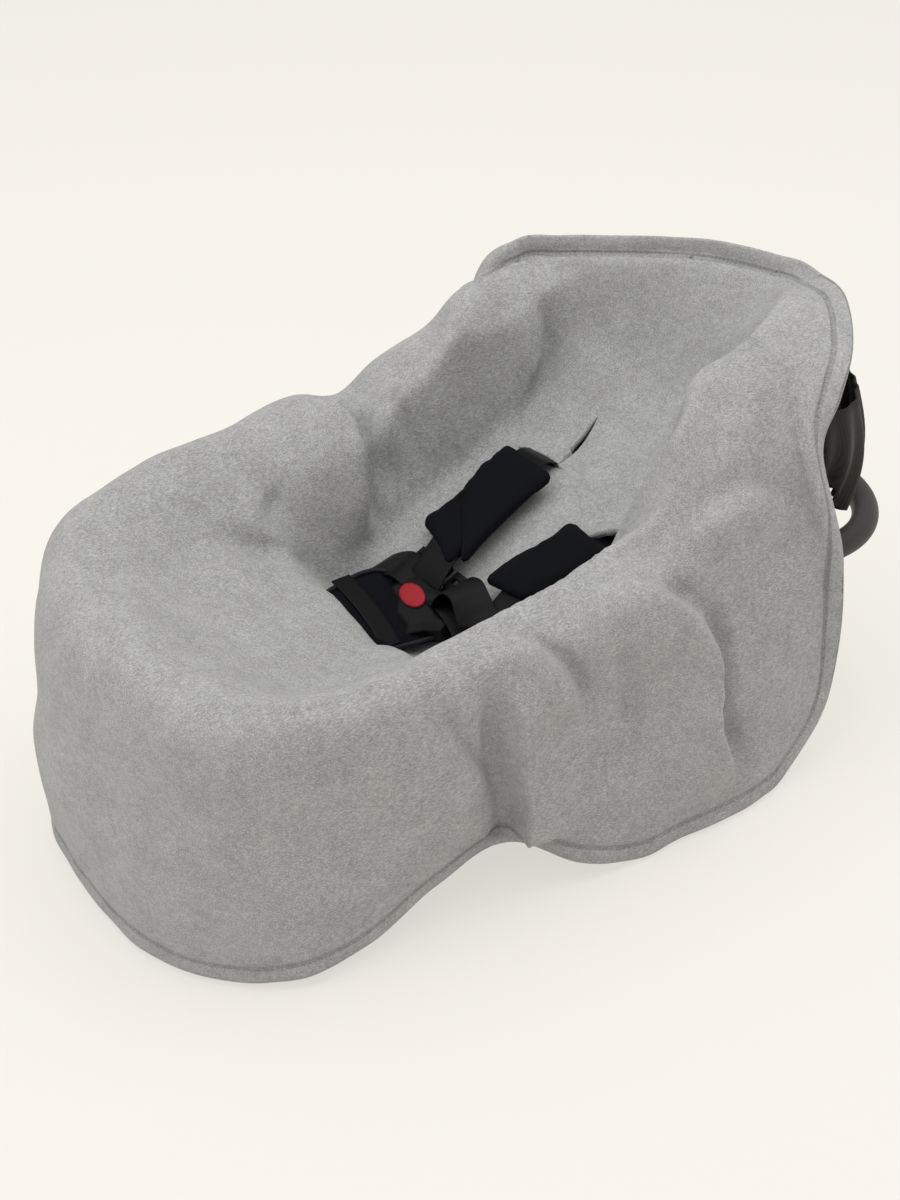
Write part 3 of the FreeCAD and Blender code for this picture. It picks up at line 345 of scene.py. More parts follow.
handle_plastic = finish_of("handle_plastic", moulded,
                           {"Colour": grey(0.019, 0.08), "Worn": grey(0.045, 0.05),
                            "Roughness": 0.5, "Grain Per Metre": 1800.0},
                           (0.2, 0.0002), specular=0.4)
grip_foam = finish_of("grip_rubber", moulded, {"Colour": grey(0.018), "Worn": grey(0.035),
                                               "Roughness": 0.7, "Grain Per Metre": 900.0},
                      (0.5, 0.0004), specular=0.25)
buckle_plastic = finish_of("buckle_plastic", moulded,
                           {"Colour": (0.0035, 0.0037, 0.0045, 1), "Worn": grey(0.009),
                            "Roughness": 0.42, "Grain Per Metre": 2600.0}, (0.12, 0.0001),
                           specular=0.12)
red_plastic = finish_of("red_plastic", moulded,
                        {"Colour": (0.27, 0.012, 0.018, 1), "Worn": (0.31, 0.022, 0.028, 1),
                         "Roughness": 0.45, "Grain Per Metre": 2600.0}, (0.1, 0.0001),
                        specular=0.15)
rubber = finish_of("rubber", moulded, {"Colour": grey(0.012), "Worn": grey(0.04),
                                       "Roughness": 0.8, "Grain Per Metre": 700.0},
                   (0.4, 0.0003), specular=0.2)
steel = finish_of("zinc_steel", moulded, {"Colour": grey(0.52, 0.02), "Worn": grey(0.40),
                                          "Roughness": 0.3, "Grain Per Metre": 3000.0},
                  (0.05, 0.0001), metal=1.0)
bead_foam = finish_of("bead_foam", moulded, {"Colour": grey(0.72), "Worn": grey(0.6),
                                             "Roughness": 0.85, "Grain Per Metre": 260.0},
                      (0.6, 0.0008))
print(len(bpy.data.materials), "materials")

# %% [markdown]
# ## The wrap blanket
# The blanket is one double sheet of fleece. It lies in the seat, goes over the rim and hangs to
# the floor, and at the head its sewn edge stands up as a hood. It could be dropped on the seat as
# a simulated cloth, but the folds of this one are set by its slits and seams. So it is drawn as a
# tailor would: a flat square of cloth, and for each place round it a crest, a middle and a hem.

# %% Measure the blanket round the seat
# Each row goes round from the middle of the foot by the child's left: how far round (a corner of
# the cloth is at 1, 3, 5 and 7), the crest, how steeply the cloth reaches it, the middle of its
# fall, and the hem.
ROUND = [
    (0.00, (0, -382, 290), 0.00, (0, -430, 150), (0, -425, 4)),
    (0.35, (62, -378, 289), 0.00, (64, -418, 150), (62, -422, 4)),
    (0.70, (118, -362, 288), 0.00, (128, -400, 150), (124, -396, 4)),
    (1.00, (156, -330, 287), 0.00, (170, -358, 150), (166, -356, 6)),
    (1.20, (175, -282, 286), 0.00, (192, -300, 150), (186, -322, 12)),
    (1.40, (183, -225, 286), 0.00, (202, -240, 150), (191, -262, 20)),
    (1.60, (186, -165, 285), 0.00, (205, -180, 150), (190, -196, 46)),
    (1.80, (187, -108, 285), 0.00, (200, -120, 160), (190, -108, 50)),
    (1.95, (187, -58, 285), 0.00, (220, -58, 150), (224, -58, 24)),
    (2.10, (186, -6, 298), 0.00, (232, 4, 150), (238, 4, 4)),
    (2.22, (183, 30, 297), 0.00, (233, 50, 165), (240, 52, 4)),
    (2.36, (172, 74, 323), 0.00, (230, 98, 190), (245, 106, 4)),
    (2.50, (148, 112, 386), 0.00, (226, 142, 215), (246, 152, 4)),
    (2.64, (125, 150, 418), 0.00, (221, 180, 240), (240, 196, 14)),
    (2.77, (120, 184, 421), 0.00, (214, 205, 285), (231, 254, 84)),
    (2.90, (112, 214, 423), 0.00, (210, 208, 335), (233, 244, 236)),
    (3.02, (103, 240, 423), 0.00, (188, 222, 374), (197, 240, 336)),
    (3.14, (88, 270, 423), 0.04, (165, 254, 402), (191, 260, 384)),
    (3.26, (66, 308, 422), 0.12, (142, 302, 415), (164, 300, 409)),
    (3.42, (44, 339, 414), 0.30, (88, 350, 419), (101, 356, 422)),
    (3.62, (24, 352, 409), 0.48, (40, 366, 416), (44, 372, 425)),
    (4.00, (-8, 356, 407), 0.60, (-6, 362, 416), (-4, 368, 425)),
    (4.35, (-58, 338, 407), 0.60, (-60, 341, 416), (-61, 343, 425)),
    (4.70, (-98, 302, 407), 0.55, (-100, 305, 416), (-101, 307, 425)),
    (5.00, (-128, 266, 407), 0.45, (-130, 268, 416), (-132, 270, 425)),
    (5.22, (-158, 226, 406), 0.30, (-161, 227, 416), (-163, 228, 425)),
    (5.40, (-176, 186, 403), 0.20, (-182, 186, 415), (-186, 186, 424)),
    (5.55, (-180, 148, 400), 0.10, (-188, 147, 402), (-198, 148, 398)),
    (5.70, (-180, 108, 388), 0.00, (-208, 120, 330), (-222, 140, 270)),
    (5.86, (-180, 72, 361), 0.00, (-222, 84, 230), (-238, 96, 90)),
    (6.02, (-180, 20, 343), 0.00, (-230, 24, 170), (-243, 26, 5)),
    (6.16, (-182, -22, 318), 0.00, (-230, -16, 160), (-243, -14, 5)),
    (6.34, (-190, -72, 326), 0.00, (-228, -72, 150), (-238, -72, 5)),
    (6.55, (-192, -140, 318), 0.00, (-226, -142, 150), (-234, -144, 5)),
    (6.80, (-194, -228, 312), 0.00, (-218, -234, 150), (-222, -238, 5)),
    (7.00, (-174, -304, 307), 0.00, (-198, -336, 150), (-194, -340, 5)),
    (7.30, (-117, -352, 298), 0.00, (-141, -402, 150), (-136, -404, 5)),
    (7.65, (-60, -372, 292), 0.00, (-69, -427, 150), (-66, -422, 4)),
]
# The lined seat from the bottom up: height, half its width, its front, its rear, its corners.
SEAT = [(146, 72, 116, -50, 38), (208, 104, 207, 67, 52), (268, 120, 287, 167, 72),
        (338, 130, 322, 254, 87), (438, 138, 328, 304, 97)]
# How steep the inside of the wall may be, in mm of height for each mm, how round its crest is,
# and how softly the two meet.
HEAD_LEAN, FOOT_EXTRA_LEAN = 2.4, 8.0
FOOT_TURN, HEAD_EXTRA_TURN = 1.0, 10.0
RIDGE_BLEND = 12.0


def eased(knots, values, wanted, period=None):
    """A smooth line through the values at the knots, read at the wanted places."""
    knots, values = np.asarray(knots, float), np.asarray(values, float)
    if period:
        knots = np.concatenate([knots[-3:] - period, knots, knots[:3] + period])
        values = np.concatenate([values[-3:], values, values[:3]])
    slopes = np.gradient(values, knots, axis=0)
    spot = np.clip(np.searchsorted(knots, wanted) - 1, 0, len(knots) - 2)
    gap = knots[spot + 1] - knots[spot]
    u = (wanted - knots[spot]) / gap
    if values.ndim == 2:
        u, gap = u[:, None], gap[:, None]
    return ((1 + 2 * u) * (1 - u) ** 2 * values[spot] + u * (1 - u) ** 2 * gap * slopes[spot]
            + u * u * (3 - 2 * u) * values[spot + 1] + u * u * (u - 1) * gap * slopes[spot + 1])


def outside_rounded(x, y, half_width, front, rear, corner):
    """How far points lie outside a rounded rectangle."""
    over_x = np.abs(x) - half_width + corner
    over_y = np.abs(y - (rear - front) / 2) - (rear + front) / 2 + corner
    return (np.hypot(np.maximum(over_x, 0), np.maximum(over_y, 0))
            + np.minimum(np.maximum(over_x, over_y), 0) - corner)


def seat_height(x, y):
    """The height of the lined seat under points of the plan."""
    rows = np.array(SEAT, float)
    levels = np.linspace(rows[0, 0], rows[-1, 0], 60)
    sizes = eased(rows[:, 0], rows[:, 1:], levels)
    height = np.full(len(x), levels[0])
    before = outside_rounded(x, y, *sizes[0])
    for level, lower, row in zip(levels[1:], levels[:-1], sizes[1:]):
        now = outside_rounded(x, y, *row)
        here = (before > 0) & (now <= 0)
        share = before / np.where(here, before - now, 1)
        height = np.where(here, lower + share * (level - lower), height)
        height = np.where(now > 0, level + now, height)
        before = now
    return height


def lower_of(first, second, soft):
    """The lower of two heights, with a soft corner where they meet."""
    share = np.clip(0.5 + 0.5 * (second - first) / soft, 0, 1)
    return second * (1 - share) + first * share - soft * share * (1 - share)


# %% Lay the cloth over the seat
SEGMENTS = 256
HEART = np.array([0.0, -60.0, 0.0])
# The cloth hangs in a sling under the harness: how far along the seat, and how high.
SLING = [(-420, 300), (-360, 289), (-300, 280), (-240, 262), (-190, 238), (-150, 218), (-134, 200),
         (-116, 180), (-96, 172), (-78, 176), (-40, 198), (0, 215), (60, 232), (150, 254),
         (260, 300)]


def sling_height(x, y):
    """The height of the cloth where it hangs clear of the seat."""
    along, up = np.array(SLING, float).T
    return eased(along, up, y) + 0.0017 * np.maximum(np.abs(x) - 45, 0) ** 2


def drape(square):
    """Where each point of the flat square lies on the seat, in millimetres from the axis."""
    a, b = square[:, 0], square[:, 1]
    ring = np.maximum(np.maximum(np.abs(a), np.abs(b)), 1e-6)
    p, q = a / ring, b / ring
    foot, head = (q <= -0.999999), (q >= 0.999999)
    near = (p >= 0.999999) & ~foot & ~head
    way = np.where(foot, p % 8, np.where(head, 4 - p, np.where(near, 2 + q, 6 - q)))
    knots = [row[0] for row in ROUND]
    crest, middle, hem = [eased(knots, [row[k] for row in ROUND], way, 8) for k in (1, 3, 4)]
    steep = eased(knots, [row[2] for row in ROUND], way, 8)

    run = np.linalg.norm((crest - HEART)[:, :2], axis=1)
    inner = run + 0.6 * crest[:, 2] - 60
    outer = np.linalg.norm(middle - crest, axis=1) + np.linalg.norm(hem - middle, axis=1)
    crest_at = inner / (inner + outer)
    share = np.clip(ring / crest_at, 0, 1)
    inside = HEART + (crest - HEART) * share[:, None]
    short = run * (1 - share)
    sideways = ((crest - HEART)[:, 0] / run) ** 2
    sharp = np.where(crest[:, 0] > 0, np.clip(sideways / 0.5, 0, 1), 0.4 * sideways)
    limit = 0.52 + 1.1 * np.maximum(sharp, 0.8 * sideways)
    round_by = 90.0 - 66.0 * sharp
    bent = np.minimum(short, limit * round_by)
    cap = crest[:, 2] - steep * short - bent ** 2 / (2 * round_by) - limit * (short - bent)
    headward = np.clip((crest - HEART)[:, 1] / run, 0, 1) ** 2
    height = lower_of(seat_height(inside[:, 0], inside[:, 1]), cap, 34.0 + 50.0 * headward)
    # The inside of the wall is never steeper than its lean, and it rolls over at the crest.
    lean = HEAD_LEAN + FOOT_EXTRA_LEAN * (1 - headward)
    turn = FOOT_TURN + HEAD_EXTRA_TURN * headward ** 2
    rolled = np.minimum(short, lean * turn)
    ridge = crest[:, 2] - rolled ** 2 / (2 * turn) - lean * (short - rolled)
    height = -lower_of(-height, -ridge, RIDGE_BLEND)
    sling = lower_of(sling_height(inside[:, 0], inside[:, 1]),
                     crest[:, 2] - 0.3 * short - bent ** 2 / (4 * round_by), 12.0)
    inside[:, 2] = np.where(share > 0.999, crest[:, 2], -lower_of(-height, -sling, 16.0))

    fall = np.clip((ring - crest_at) / (1 - crest_at), 0, 1)
    radial, falling = (crest - HEART) * [1, 1, 0], (middle - crest) * [1, 1, 0]
    outward = (0.4 * radial / np.linalg.norm(radial, axis=1)[:, None]
               + 0.6 * falling / np.linalg.norm(falling, axis=1)[:, None])
    outward /= np.linalg.norm(outward, axis=1)[:, None]
    outward[:, 2] = steep
    drop = np.linalg.norm(middle - crest, axis=1)[:, None]
    first = outward * drop * 1.1
    second = (hem - crest) * 0.55
    last = (hem - middle) * 1.0
    u = np.clip(fall * 2, 0, 1)[:, None]
    v = np.clip(fall * 2 - 1, 0, 1)[:, None]
    upper = ((1 + 2 * u) * (1 - u) ** 2 * crest + u * (1 - u) ** 2 * first
             + u * u * (3 - 2 * u) * middle + u * u * (u - 1) * second)
    lower = ((1 + 2 * v) * (1 - v) ** 2 * middle + v * (1 - v) ** 2 * second
             + v * v * (3 - 2 * v) * hem + v * v * (v - 1) * last)
    return np.where((ring < crest_at)[:, None], inside,
                    np.where(fall[:, None] < 0.5, upper, lower))


cloth = bmesh.new()
bmesh.ops.create_grid(cloth, x_segments=SEGMENTS, y_segments=SEGMENTS, size=1.0)
square = np.array([v.co for v in cloth.verts])
laid = drape(square)


def place(shape, points):
    """Moves the points of a shape to places in millimetres."""
    for vertex, spot in zip(shape.verts, all_at(points)):
        vertex.co = spot
    shape.normal_update()


place(cloth, laid)
print("cloth of", len(cloth.verts), "points, from", laid.min(0).round(), "to", laid.max(0).round())

# %% [markdown]
# The drawing of the fall knows nothing of the hubs and the handle's arms. The real cloth bulges
# over them. A ray along each point's own normal finds how far the hard parts stand out, and the
# cloth is lifted by that, with the lift spread softly to the points beside it.

# %% Lift the cloth over the hard parts
from mathutils.bvhtree import BVHTree

HARD = ["seat_shell", "belt_guide_left", "belt_guide_right", "hub_cap_left", "hub_cap_right",
        "hub_left", "hub_right", "release_button_left", "release_button_right"]
CLEAR = 9.0
edge_ends = np.array([[v.index for v in e.verts] for e in cloth.edges])


def spread(values, rounds, keep=None):
    """Each point's value moved towards the mean of its neighbours', some rounds over."""
    count = np.bincount(edge_ends.ravel(), minlength=len(values)).astype(float)
    for _ in range(rounds):
        total = np.bincount(edge_ends[:, 0], values[edge_ends[:, 1]], len(values))
        total += np.bincount(edge_ends[:, 1], values[edge_ends[:, 0]], len(values))
        values = 0.5 * values + 0.5 * total / count
        if keep is not None:
            values = np.maximum(values, keep)
    return values


def lift_over(shape, names, clear, reach=40.0):
    """How far each point has to move along its normal to clear the named parts."""
    trees = []
    for name in names:
        if name in nodes:
            part = nodes[name]
            trees.append(BVHTree.FromPolygons([v.co for v in part.data.vertices],
                                              [p.vertices for p in part.data.polygons]))
    lift = np.zeros(len(shape.verts))
    for i, vertex in enumerate(shape.verts):
        start = vertex.co + vertex.normal * reach * MM
        for tree in trees:
            hit = tree.ray_cast(start, -vertex.normal, (reach + clear) * MM)
            if hit[0] is not None:
                lift[i] = max(lift[i], reach + clear - hit[3] / MM)
    return lift


wanted = lift_over(cloth, HARD, CLEAR)
lift = spread(wanted, 24, wanted)
normals = np.array([v.normal for v in cloth.verts])
laid = laid + normals * lift[:, None]
place(cloth, laid)
print("lifted", int((wanted > 0).sum()), "points by up to", round(float(wanted.max()), 1), "mm")

# %% [markdown]
# A drape is smooth, but thick fleece breaks into a few soft folds where it turns a corner or is
# pulled by a slit. They could be sculpted by hand. Here each fold is a short line on the cloth,
# with a height and a width on either side, as a hand would push it up. A narrow side falls
# steeply, and the cloth dips a little at its foot.

# %% Push up the folds
# Height, width on the left and on the right of the line, how much of its start and end fades, and
# the line itself. A negative height is a valley.
FOLDS = {
    "far hip": (14, 6, 30, 0.20, 0.30,
                [(-196, -67, 314), (-161, -51, 309), (-134, -51, 290), (-122, -56, 265),
                 (-112, -60, 232), (-103, -53, 207)]),
    "far knee valley": (-6, 14, 14, 0.3, 0.4,
                        [(-137, -152, 275), (-123, -143, 261), (-109, -121, 222)]),
    "far foot": (7, 34, 7, 0.3, 0.3,
                 [(-132, -207, 278), (-118, -180, 253), (-106, -158, 231), (-92, -150, 222)]),
    "far shoulder crease": (-5, 6, 6, 0.25, 0.3,
                            [(-148, 5, 333), (-135, -1, 323), (-126, 8, 300), (-120, 19, 270)]),
    "far side hollow": (-5, 14, 14, 0.4, 0.4,
                        [(-123, -22, 287), (-117, -20, 258), (-112, -24, 236)]),
    "hub arc": (15, 8, 40, 0.45, 0.10,
                [(182, -53, 292), (209, -12, 303), (228, 18, 288), (227, 53, 251),
                 (228, 80, 200), (238, 78, 140), (241, 90, 101), (244, 115, 40)]),
    "hub valley": (-5, 8, 14, 0.25, 0.3,
                   [(229, -27, 266), (229, -21, 233), (228, -7, 191), (234, -9, 126)]),
    "near arc": (12, 6, 26, 0.25, 0.3,
                 [(184, -118, 289), (203, -110, 284), (213, -99, 265), (218, -75, 228),
                  (219, -58, 166)]),
    "near corner": (16, 34, 8, 0.25, 0.05,
                    [(200, -130, 262), (210, -131, 236), (206, -128, 202), (202, -118, 157),
                     (203, -108, 110), (197, -102, 55)]),
    "near crease": (-5, 6, 6, 0.25, 0.3,
                    [(209, -198, 260), (212, -187, 235), (207, -163, 193), (198, -130, 140)]),
    "knee crease": (-5, 7, 12, 0.3, 0.3,
                    [(146, -282, 283), (132, -262, 279), (128, -247, 280), (151, -231, 283),
                     (163, -209, 284)]),
    "foot ridge": (4, 26, 26, 0.3, 0.3,
                   [(-20, -300, 275), (20, -380, 288), (62, -405, 220), (72, -415, 110),
                    (70, -418, 40)]),
    "wing ridge": (2.5, 16, 14, 0.3, 0.3,
                   [(60, 316, 424), (100, 246, 423), (120, 186, 420), (134, 136, 408),
                    (150, 108, 382), (168, 78, 330), (178, 50, 305)]),
    "side crease": (7, 7, 40, 0.3, 0.4,
                    [(195, 55, 317), (201, 99, 325), (202, 142, 330), (207, 182, 302),
                     (216, 194, 265)]),
    "far wing": (9, 7, 30, 0.3, 0.4,
                 [(-144, 166, 377), (-130, 171, 345), (-125, 160, 311), (-117, 119, 269)]),
    "head valley": (-7, 22, 22, 0.4, 0.4,
                    [(-33, 312, 377), (-19, 266, 350), (-23, 222, 307), (-8, 192, 283)]),
}


def push_fold(points, facing, height, left, right, start, end, line):
    """How far one fold moves each point of the cloth along its own normal."""
    line = np.array(line, float)
    knots = np.linspace(0, 1, len(line))
    steps = np.linspace(0, 1, 60)
    path = eased(knots, line, steps)
    heading = np.gradient(path, axis=0)
    heading /= np.linalg.norm(heading, axis=1)[:, None]
    reach = 4.5 * max(left, right)
    low, high = path.min(0) - reach, path.max(0) + reach
    close = np.where(((points > low) & (points < high)).all(axis=1))[0]
    away = points[close][:, None] - path[None]
    nearest = np.argmin((away ** 2).sum(axis=2), axis=1)
    offset = away[np.arange(len(close)), nearest]
    distance = np.linalg.norm(offset, axis=1)
    side = (np.cross(heading[nearest], facing[close]) * offset).sum(axis=1)
    width = np.where(side > 0, right, left)
    narrow = min(left, right)
    value = np.exp(-(distance / width) ** 2)
    if left != right:
        foot = 0.45 * np.exp(-((distance - 2.2 * narrow) / (1.3 * narrow)) ** 2)
        value = value - np.where(width == narrow, foot, 0)
    along = steps[nearest]
    value *= np.clip(along / max(start, 0.01), 0, 1) * np.clip((1 - along) / max(end, 0.01), 0, 1)
    moved = np.zeros(len(points))
    moved[close] = 1.5 * height * value
    return moved


facing = np.array([v.normal for v in cloth.verts])
pushed = np.zeros(len(laid))
for name, fold in FOLDS.items():
    pushed += push_fold(laid, facing, *fold)
waves = np.array([noise.noise(Vector(p) * 0.011) + 0.5 * noise.noise(Vector(p) * 0.026)
                  for p in laid]) * 3.0
laid = laid + facing * (pushed + waves)[:, None]
place(cloth, laid)
bmesh.ops.smooth_vert(cloth, verts=cloth.verts, factor=0.5, use_axis_x=True, use_axis_y=True,
                      use_axis_z=True)
laid = (np.array([v.co for v in cloth.verts]) / MM) - np.array([0, AXIS_Y / MM, 0])
cloth.normal_update()
lift = spread(lift_over(cloth, HARD, CLEAR, 14.0), 12)
laid = laid + np.array([v.normal for v in cloth.verts]) * lift[:, None]
place(cloth, laid)
print(len(FOLDS), "folds, the cloth now up to", round(laid[:, 2].max()), "mm high")

# %% [markdown]
# The straps come through three slits in the cloth: one at each shoulder and one in front of the
# buckle. A slit could be a texture, but its lips lie at different heights, and the straps pass
# between them. So each one is cut through the mesh, and its two lips are moved apart.

# %% Cut the slits
# Start and end in the plan, how far the left lip rises and the right lip sinks, how far the lips
# open, and how widely the cloth follows them.
SLITS = {
    "far shoulder": ((-94, 119), (-38, 131), 9, 0, 1, 24),
    "far shoulder end": ((-44, 129), (-62, 196), 2, 3, 2.2, 10),
    "near shoulder": ((103, 110), (60, 60), -9, -18, 2, 20),
    "buckle": ((46, -153), (-54, -140), 2, 18, 2, 26),
}


def cut_slit(shape, start, end):
    """Cuts the cloth between two places of the plan, and leaves both lips loose."""
    start, end = at(*start, 0), at(*end, 0)
    along = (end - start).normalized()
    across = Vector((-along.y, along.x, 0))
    length = (end - start).length
    faces = [f for f in shape.faces
             if -0.012 < (f.calc_center_median() - start).dot(along) < length + 0.012
             and abs((f.calc_center_median() - start).dot(across)) < 0.015]
    geom = faces + list({e for f in faces for e in f.edges} | {v for f in faces for v in f.verts})
    cut = bmesh.ops.bisect_plane(shape, geom=geom, plane_co=start, plane_no=across,
                                 dist=1e-6)["geom_cut"]
    lips = [e for e in cut if isinstance(e, bmesh.types.BMEdge)
            and all(0 <= (v.co - start).dot(along) <= length for v in e.verts)]
    bmesh.ops.split_edges(shape, edges=lips)
    return len(lips)


def open_slit(shape, start, end, rise, sink, apart, width):
    """Moves the lips of one slit, and the cloth beside them."""
    start, end = at(*start, 0), at(*end, 0)
    along = (end - start).normalized()
    across = Vector((-along.y, along.x, 0))
    length = (end - start).length
    for vertex in shape.verts:
        offset = vertex.co - start
        t = offset.dot(along) / length
        side = offset.dot(across) / MM
        if not (0 < t < 1 and abs(side) < 3 * width):
            continue
        if abs(side) < 0.01:
            side = sum((f.calc_center_median() - start).dot(across)
                       for f in vertex.link_faces) / len(vertex.link_faces)
        share = math.sin(math.pi * t) ** 0.8 * math.exp(-(abs(side) / width) ** 2)
        up = rise if side > 0 else -sink
        vertex.co.z += up * share * MM
        vertex.co += across * math.copysign(apart * share * MM, side)


under_cloth = cloth.copy()
for name, (start, end, *way) in SLITS.items():
    print(name, "slit of", cut_slit(cloth, start, end), "edges")
for name, (start, end, *way) in SLITS.items():
    open_slit(cloth, start, end, *way)
cloth.normal_update()

# %% [markdown]
# The hem is the edge of the fleece turned over twice and sewn down, so it is a little thicker
# than the sheet, with a line of stitches 18 mm in. Every point near it gets its distance to the
# edge and its place along the edge: the stitches in the finish follow them.

# %% Thicken the hem and measure it
from mathutils.kdtree import KDTree

FLEECE = 7.0
BAND = 18.0
for name in ("from_edge", "along_edge"):
    cloth.verts.layers.float.new(name)
from_edge = cloth.verts.layers.float["from_edge"]
along_edge = cloth.verts.layers.float["along_edge"]
rim = [e for e in cloth.edges if e.is_boundary]
start = max(rim, key=lambda e: e.verts[0].co.y - e.verts[0].co.x)
loop = [start.verts[0], start.verts[1]]
while loop[-1] is not loop[0]:
    step = next(e.other_vert(loop[-1]) for e in loop[-1].link_edges
                if e.is_boundary and e.other_vert(loop[-1]) is not loop[-2])
    loop.append(step)
loop = loop[:-1]
gone = [0.0]
for first, second in zip(loop, loop[1:] + loop[:1]):
    gone.append(gone[-1] + (second.co - first.co).length)
tree = KDTree(len(loop))
for i, vertex in enumerate(loop):
    tree.insert(vertex.co, i)
tree.balance()
for vertex in cloth.verts:
    spot, i, distance = tree.find(vertex.co)
    for other in (loop[i - 1].co, loop[(i + 1) % len(loop)].co):
        side = other - spot
        share = max(0.0, min(1.0, (vertex.co - spot).dot(side) / side.length_squared))
        distance = min(distance, (vertex.co - spot - side * share).length)
    vertex[from_edge] = distance
    vertex[along_edge] = gone[i]
moves = []
for vertex in cloth.verts:
    inward = vertex[from_edge] / MM
    moves.append(vertex.normal * MM * (1.3 * math.exp(-((inward - 8) / 7) ** 2)
                                       - 1.8 * math.exp(-((inward - BAND) / 4) ** 2)))
for vertex, move in zip(cloth.verts, moves):
    vertex.co += move
cloth.normal_update()
print("hem of", round(gone[-1], 3), "m")

# %% [markdown]
# The two sides of the blanket hang over the handle's arms, and the middle does not. So the sheet
# is parted in three, along lines just inside the rim. Each part gets its thickness, and keeps the
# whole sheet's smooth shading at the lines, so none shows.

# %% Part the blanket and make its pieces
SIDE = 180.0
shading = cloth.verts.layers.float_vector.new("shading")
for vertex in cloth.verts:
    vertex[shading] = vertex.normal


def piece_from(name, shape, material, smooth=True):
    """A finished bmesh as an object with its material."""
    mesh = bpy.data.meshes.new(name)
    shape.to_mesh(mesh)
    shape.free()
    made = bpy.data.objects.new(name, mesh)
    bpy.context.scene.collection.objects.link(made)
    mesh.materials.append(material)
    mesh.polygons.foreach_set("use_smooth", [smooth] * len(mesh.polygons))
    return made


def sheet_part(name, low, high):
    """The part of the whole sheet between two places across it, with its thickness."""
    part = cloth.copy()
    for edge, keep_above in ((low, True), (high, False)):
        if edge is not None:
            bmesh.ops.bisect_plane(part, geom=part.verts[:] + part.edges[:] + part.faces[:],
                                   plane_co=(edge * MM, 0, 0), plane_no=(1, 0, 0),
                                   clear_inner=keep_above, clear_outer=not keep_above)
    area = sum(f.calc_area() for f in part.faces)
    bmesh.ops.dissolve_degenerate(part, dist=0.05 * MM, edges=part.edges[:])
    bmesh.ops.solidify(part, geom=part.faces[:], thickness=0.001 * MM)
    part.normal_update()
    kept = part.verts.layers.float_vector["shading"]
    edge = part.verts.layers.float["from_edge"]
    inner = [v for v in part.verts if v.normal.dot(v[kept]) < -0.2
             or sum(f.normal.dot(v[kept]) < -0.5 for f in v.link_faces) > 1]
    for vertex in inner:
        vertex.co -= vertex[kept] * FLEECE * MM
    part.normal_update()
    hem = [e for e in part.edges if len(e.link_faces) == 2 and all(v[edge] < 1e-5 for v in e.verts)
           and e.calc_face_angle(0) > 1.0]
    bmesh.ops.bevel(part, geom=hem, offset=2.2 * MM, offset_type="OFFSET", segments=2,
                    profile=0.5, affect="EDGES", material=-1)
    made = piece_from(name, part, fleece)
    mesh = made.data
    kept = np.zeros(len(mesh.vertices) * 3, np.float32)
    mesh.attributes["shading"].data.foreach_get("vector", kept)
    kept = kept.reshape(-1, 3)
    normals = np.array([n.vector for n in mesh.vertex_normals])
    spots = np.array([v.co.x for v in mesh.vertices]) / MM
    at_cut = np.minimum(np.abs(spots - SIDE), np.abs(spots + SIDE)) < 0.2
    facing_in = (normals * kept).sum(axis=1) < 0
    chosen = np.where(at_cut[:, None], np.where(facing_in[:, None], -kept, kept), normals)
    mesh.normals_split_custom_set_from_vertices([Vector(n) for n in chosen])
    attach(made, "seat")
    print(name, len(mesh.vertices), "points,", round(area, 3), "m2")
    return made


middle = sheet_part("blanket_middle", -SIDE, SIDE)
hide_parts("blanket_foot", "blanket_seat", "blanket_hood")
side_left = sheet_part("blanket_side_left", SIDE, None)
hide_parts("blanket_flap_left")
side_right = sheet_part("blanket_side_right", None, -SIDE)
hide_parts("blanket_flap_right")
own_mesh(side_left)
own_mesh(side_right)

# %% [markdown]
# ## The harness
# The straps are woven webbing, 38 mm wide and under 2 mm thick. A simulation would need a very
# fine mesh for them, so each is modelled directly, as a tailor lays a tape: flat first, then bent
# along its route. A route is two smooth edge lines, so a strap can turn over or twist.

# %% Bend a flat shape along a route
# How thick a strap is, and how wide.
WEB, WEBBING = 1.7, 38.0


def bend_length(left, right):
    """How long a route is along its middle, in millimetres."""
    centre = (np.array(left, float) + np.array(right, float)) / 2
    return float(np.linalg.norm(np.diff(centre, axis=0), axis=1).sum())


def bend_along(shape, left, right):
    """Bends a flat shape, 2 wide, 1 long and in millimetres thick, between two edge lines."""
    left, right = np.array(left, float), np.array(right, float)
    centre = (left + right) / 2
    gaps = np.linalg.norm(np.diff(centre, axis=0), axis=1)
    knots = np.concatenate([[0], np.cumsum(gaps)])
    flat = np.array([v.co for v in shape.verts])
    wanted = np.clip(flat[:, 1], 0, 1) * knots[-1]
    middle = eased(knots, centre, wanted)
    across = eased(knots, (right - left) / 2, wanted)
    along = (eased(knots, centre, np.minimum(wanted + 0.5, knots[-1]))
             - eased(knots, centre, np.maximum(wanted - 0.5, 0)))
    upward = np.cross(across, along)
    upward /= np.maximum(np.linalg.norm(upward, axis=1), 1e-6)[:, None]
    place(shape, middle + across * flat[:, :1] - upward * flat[:, 2:])


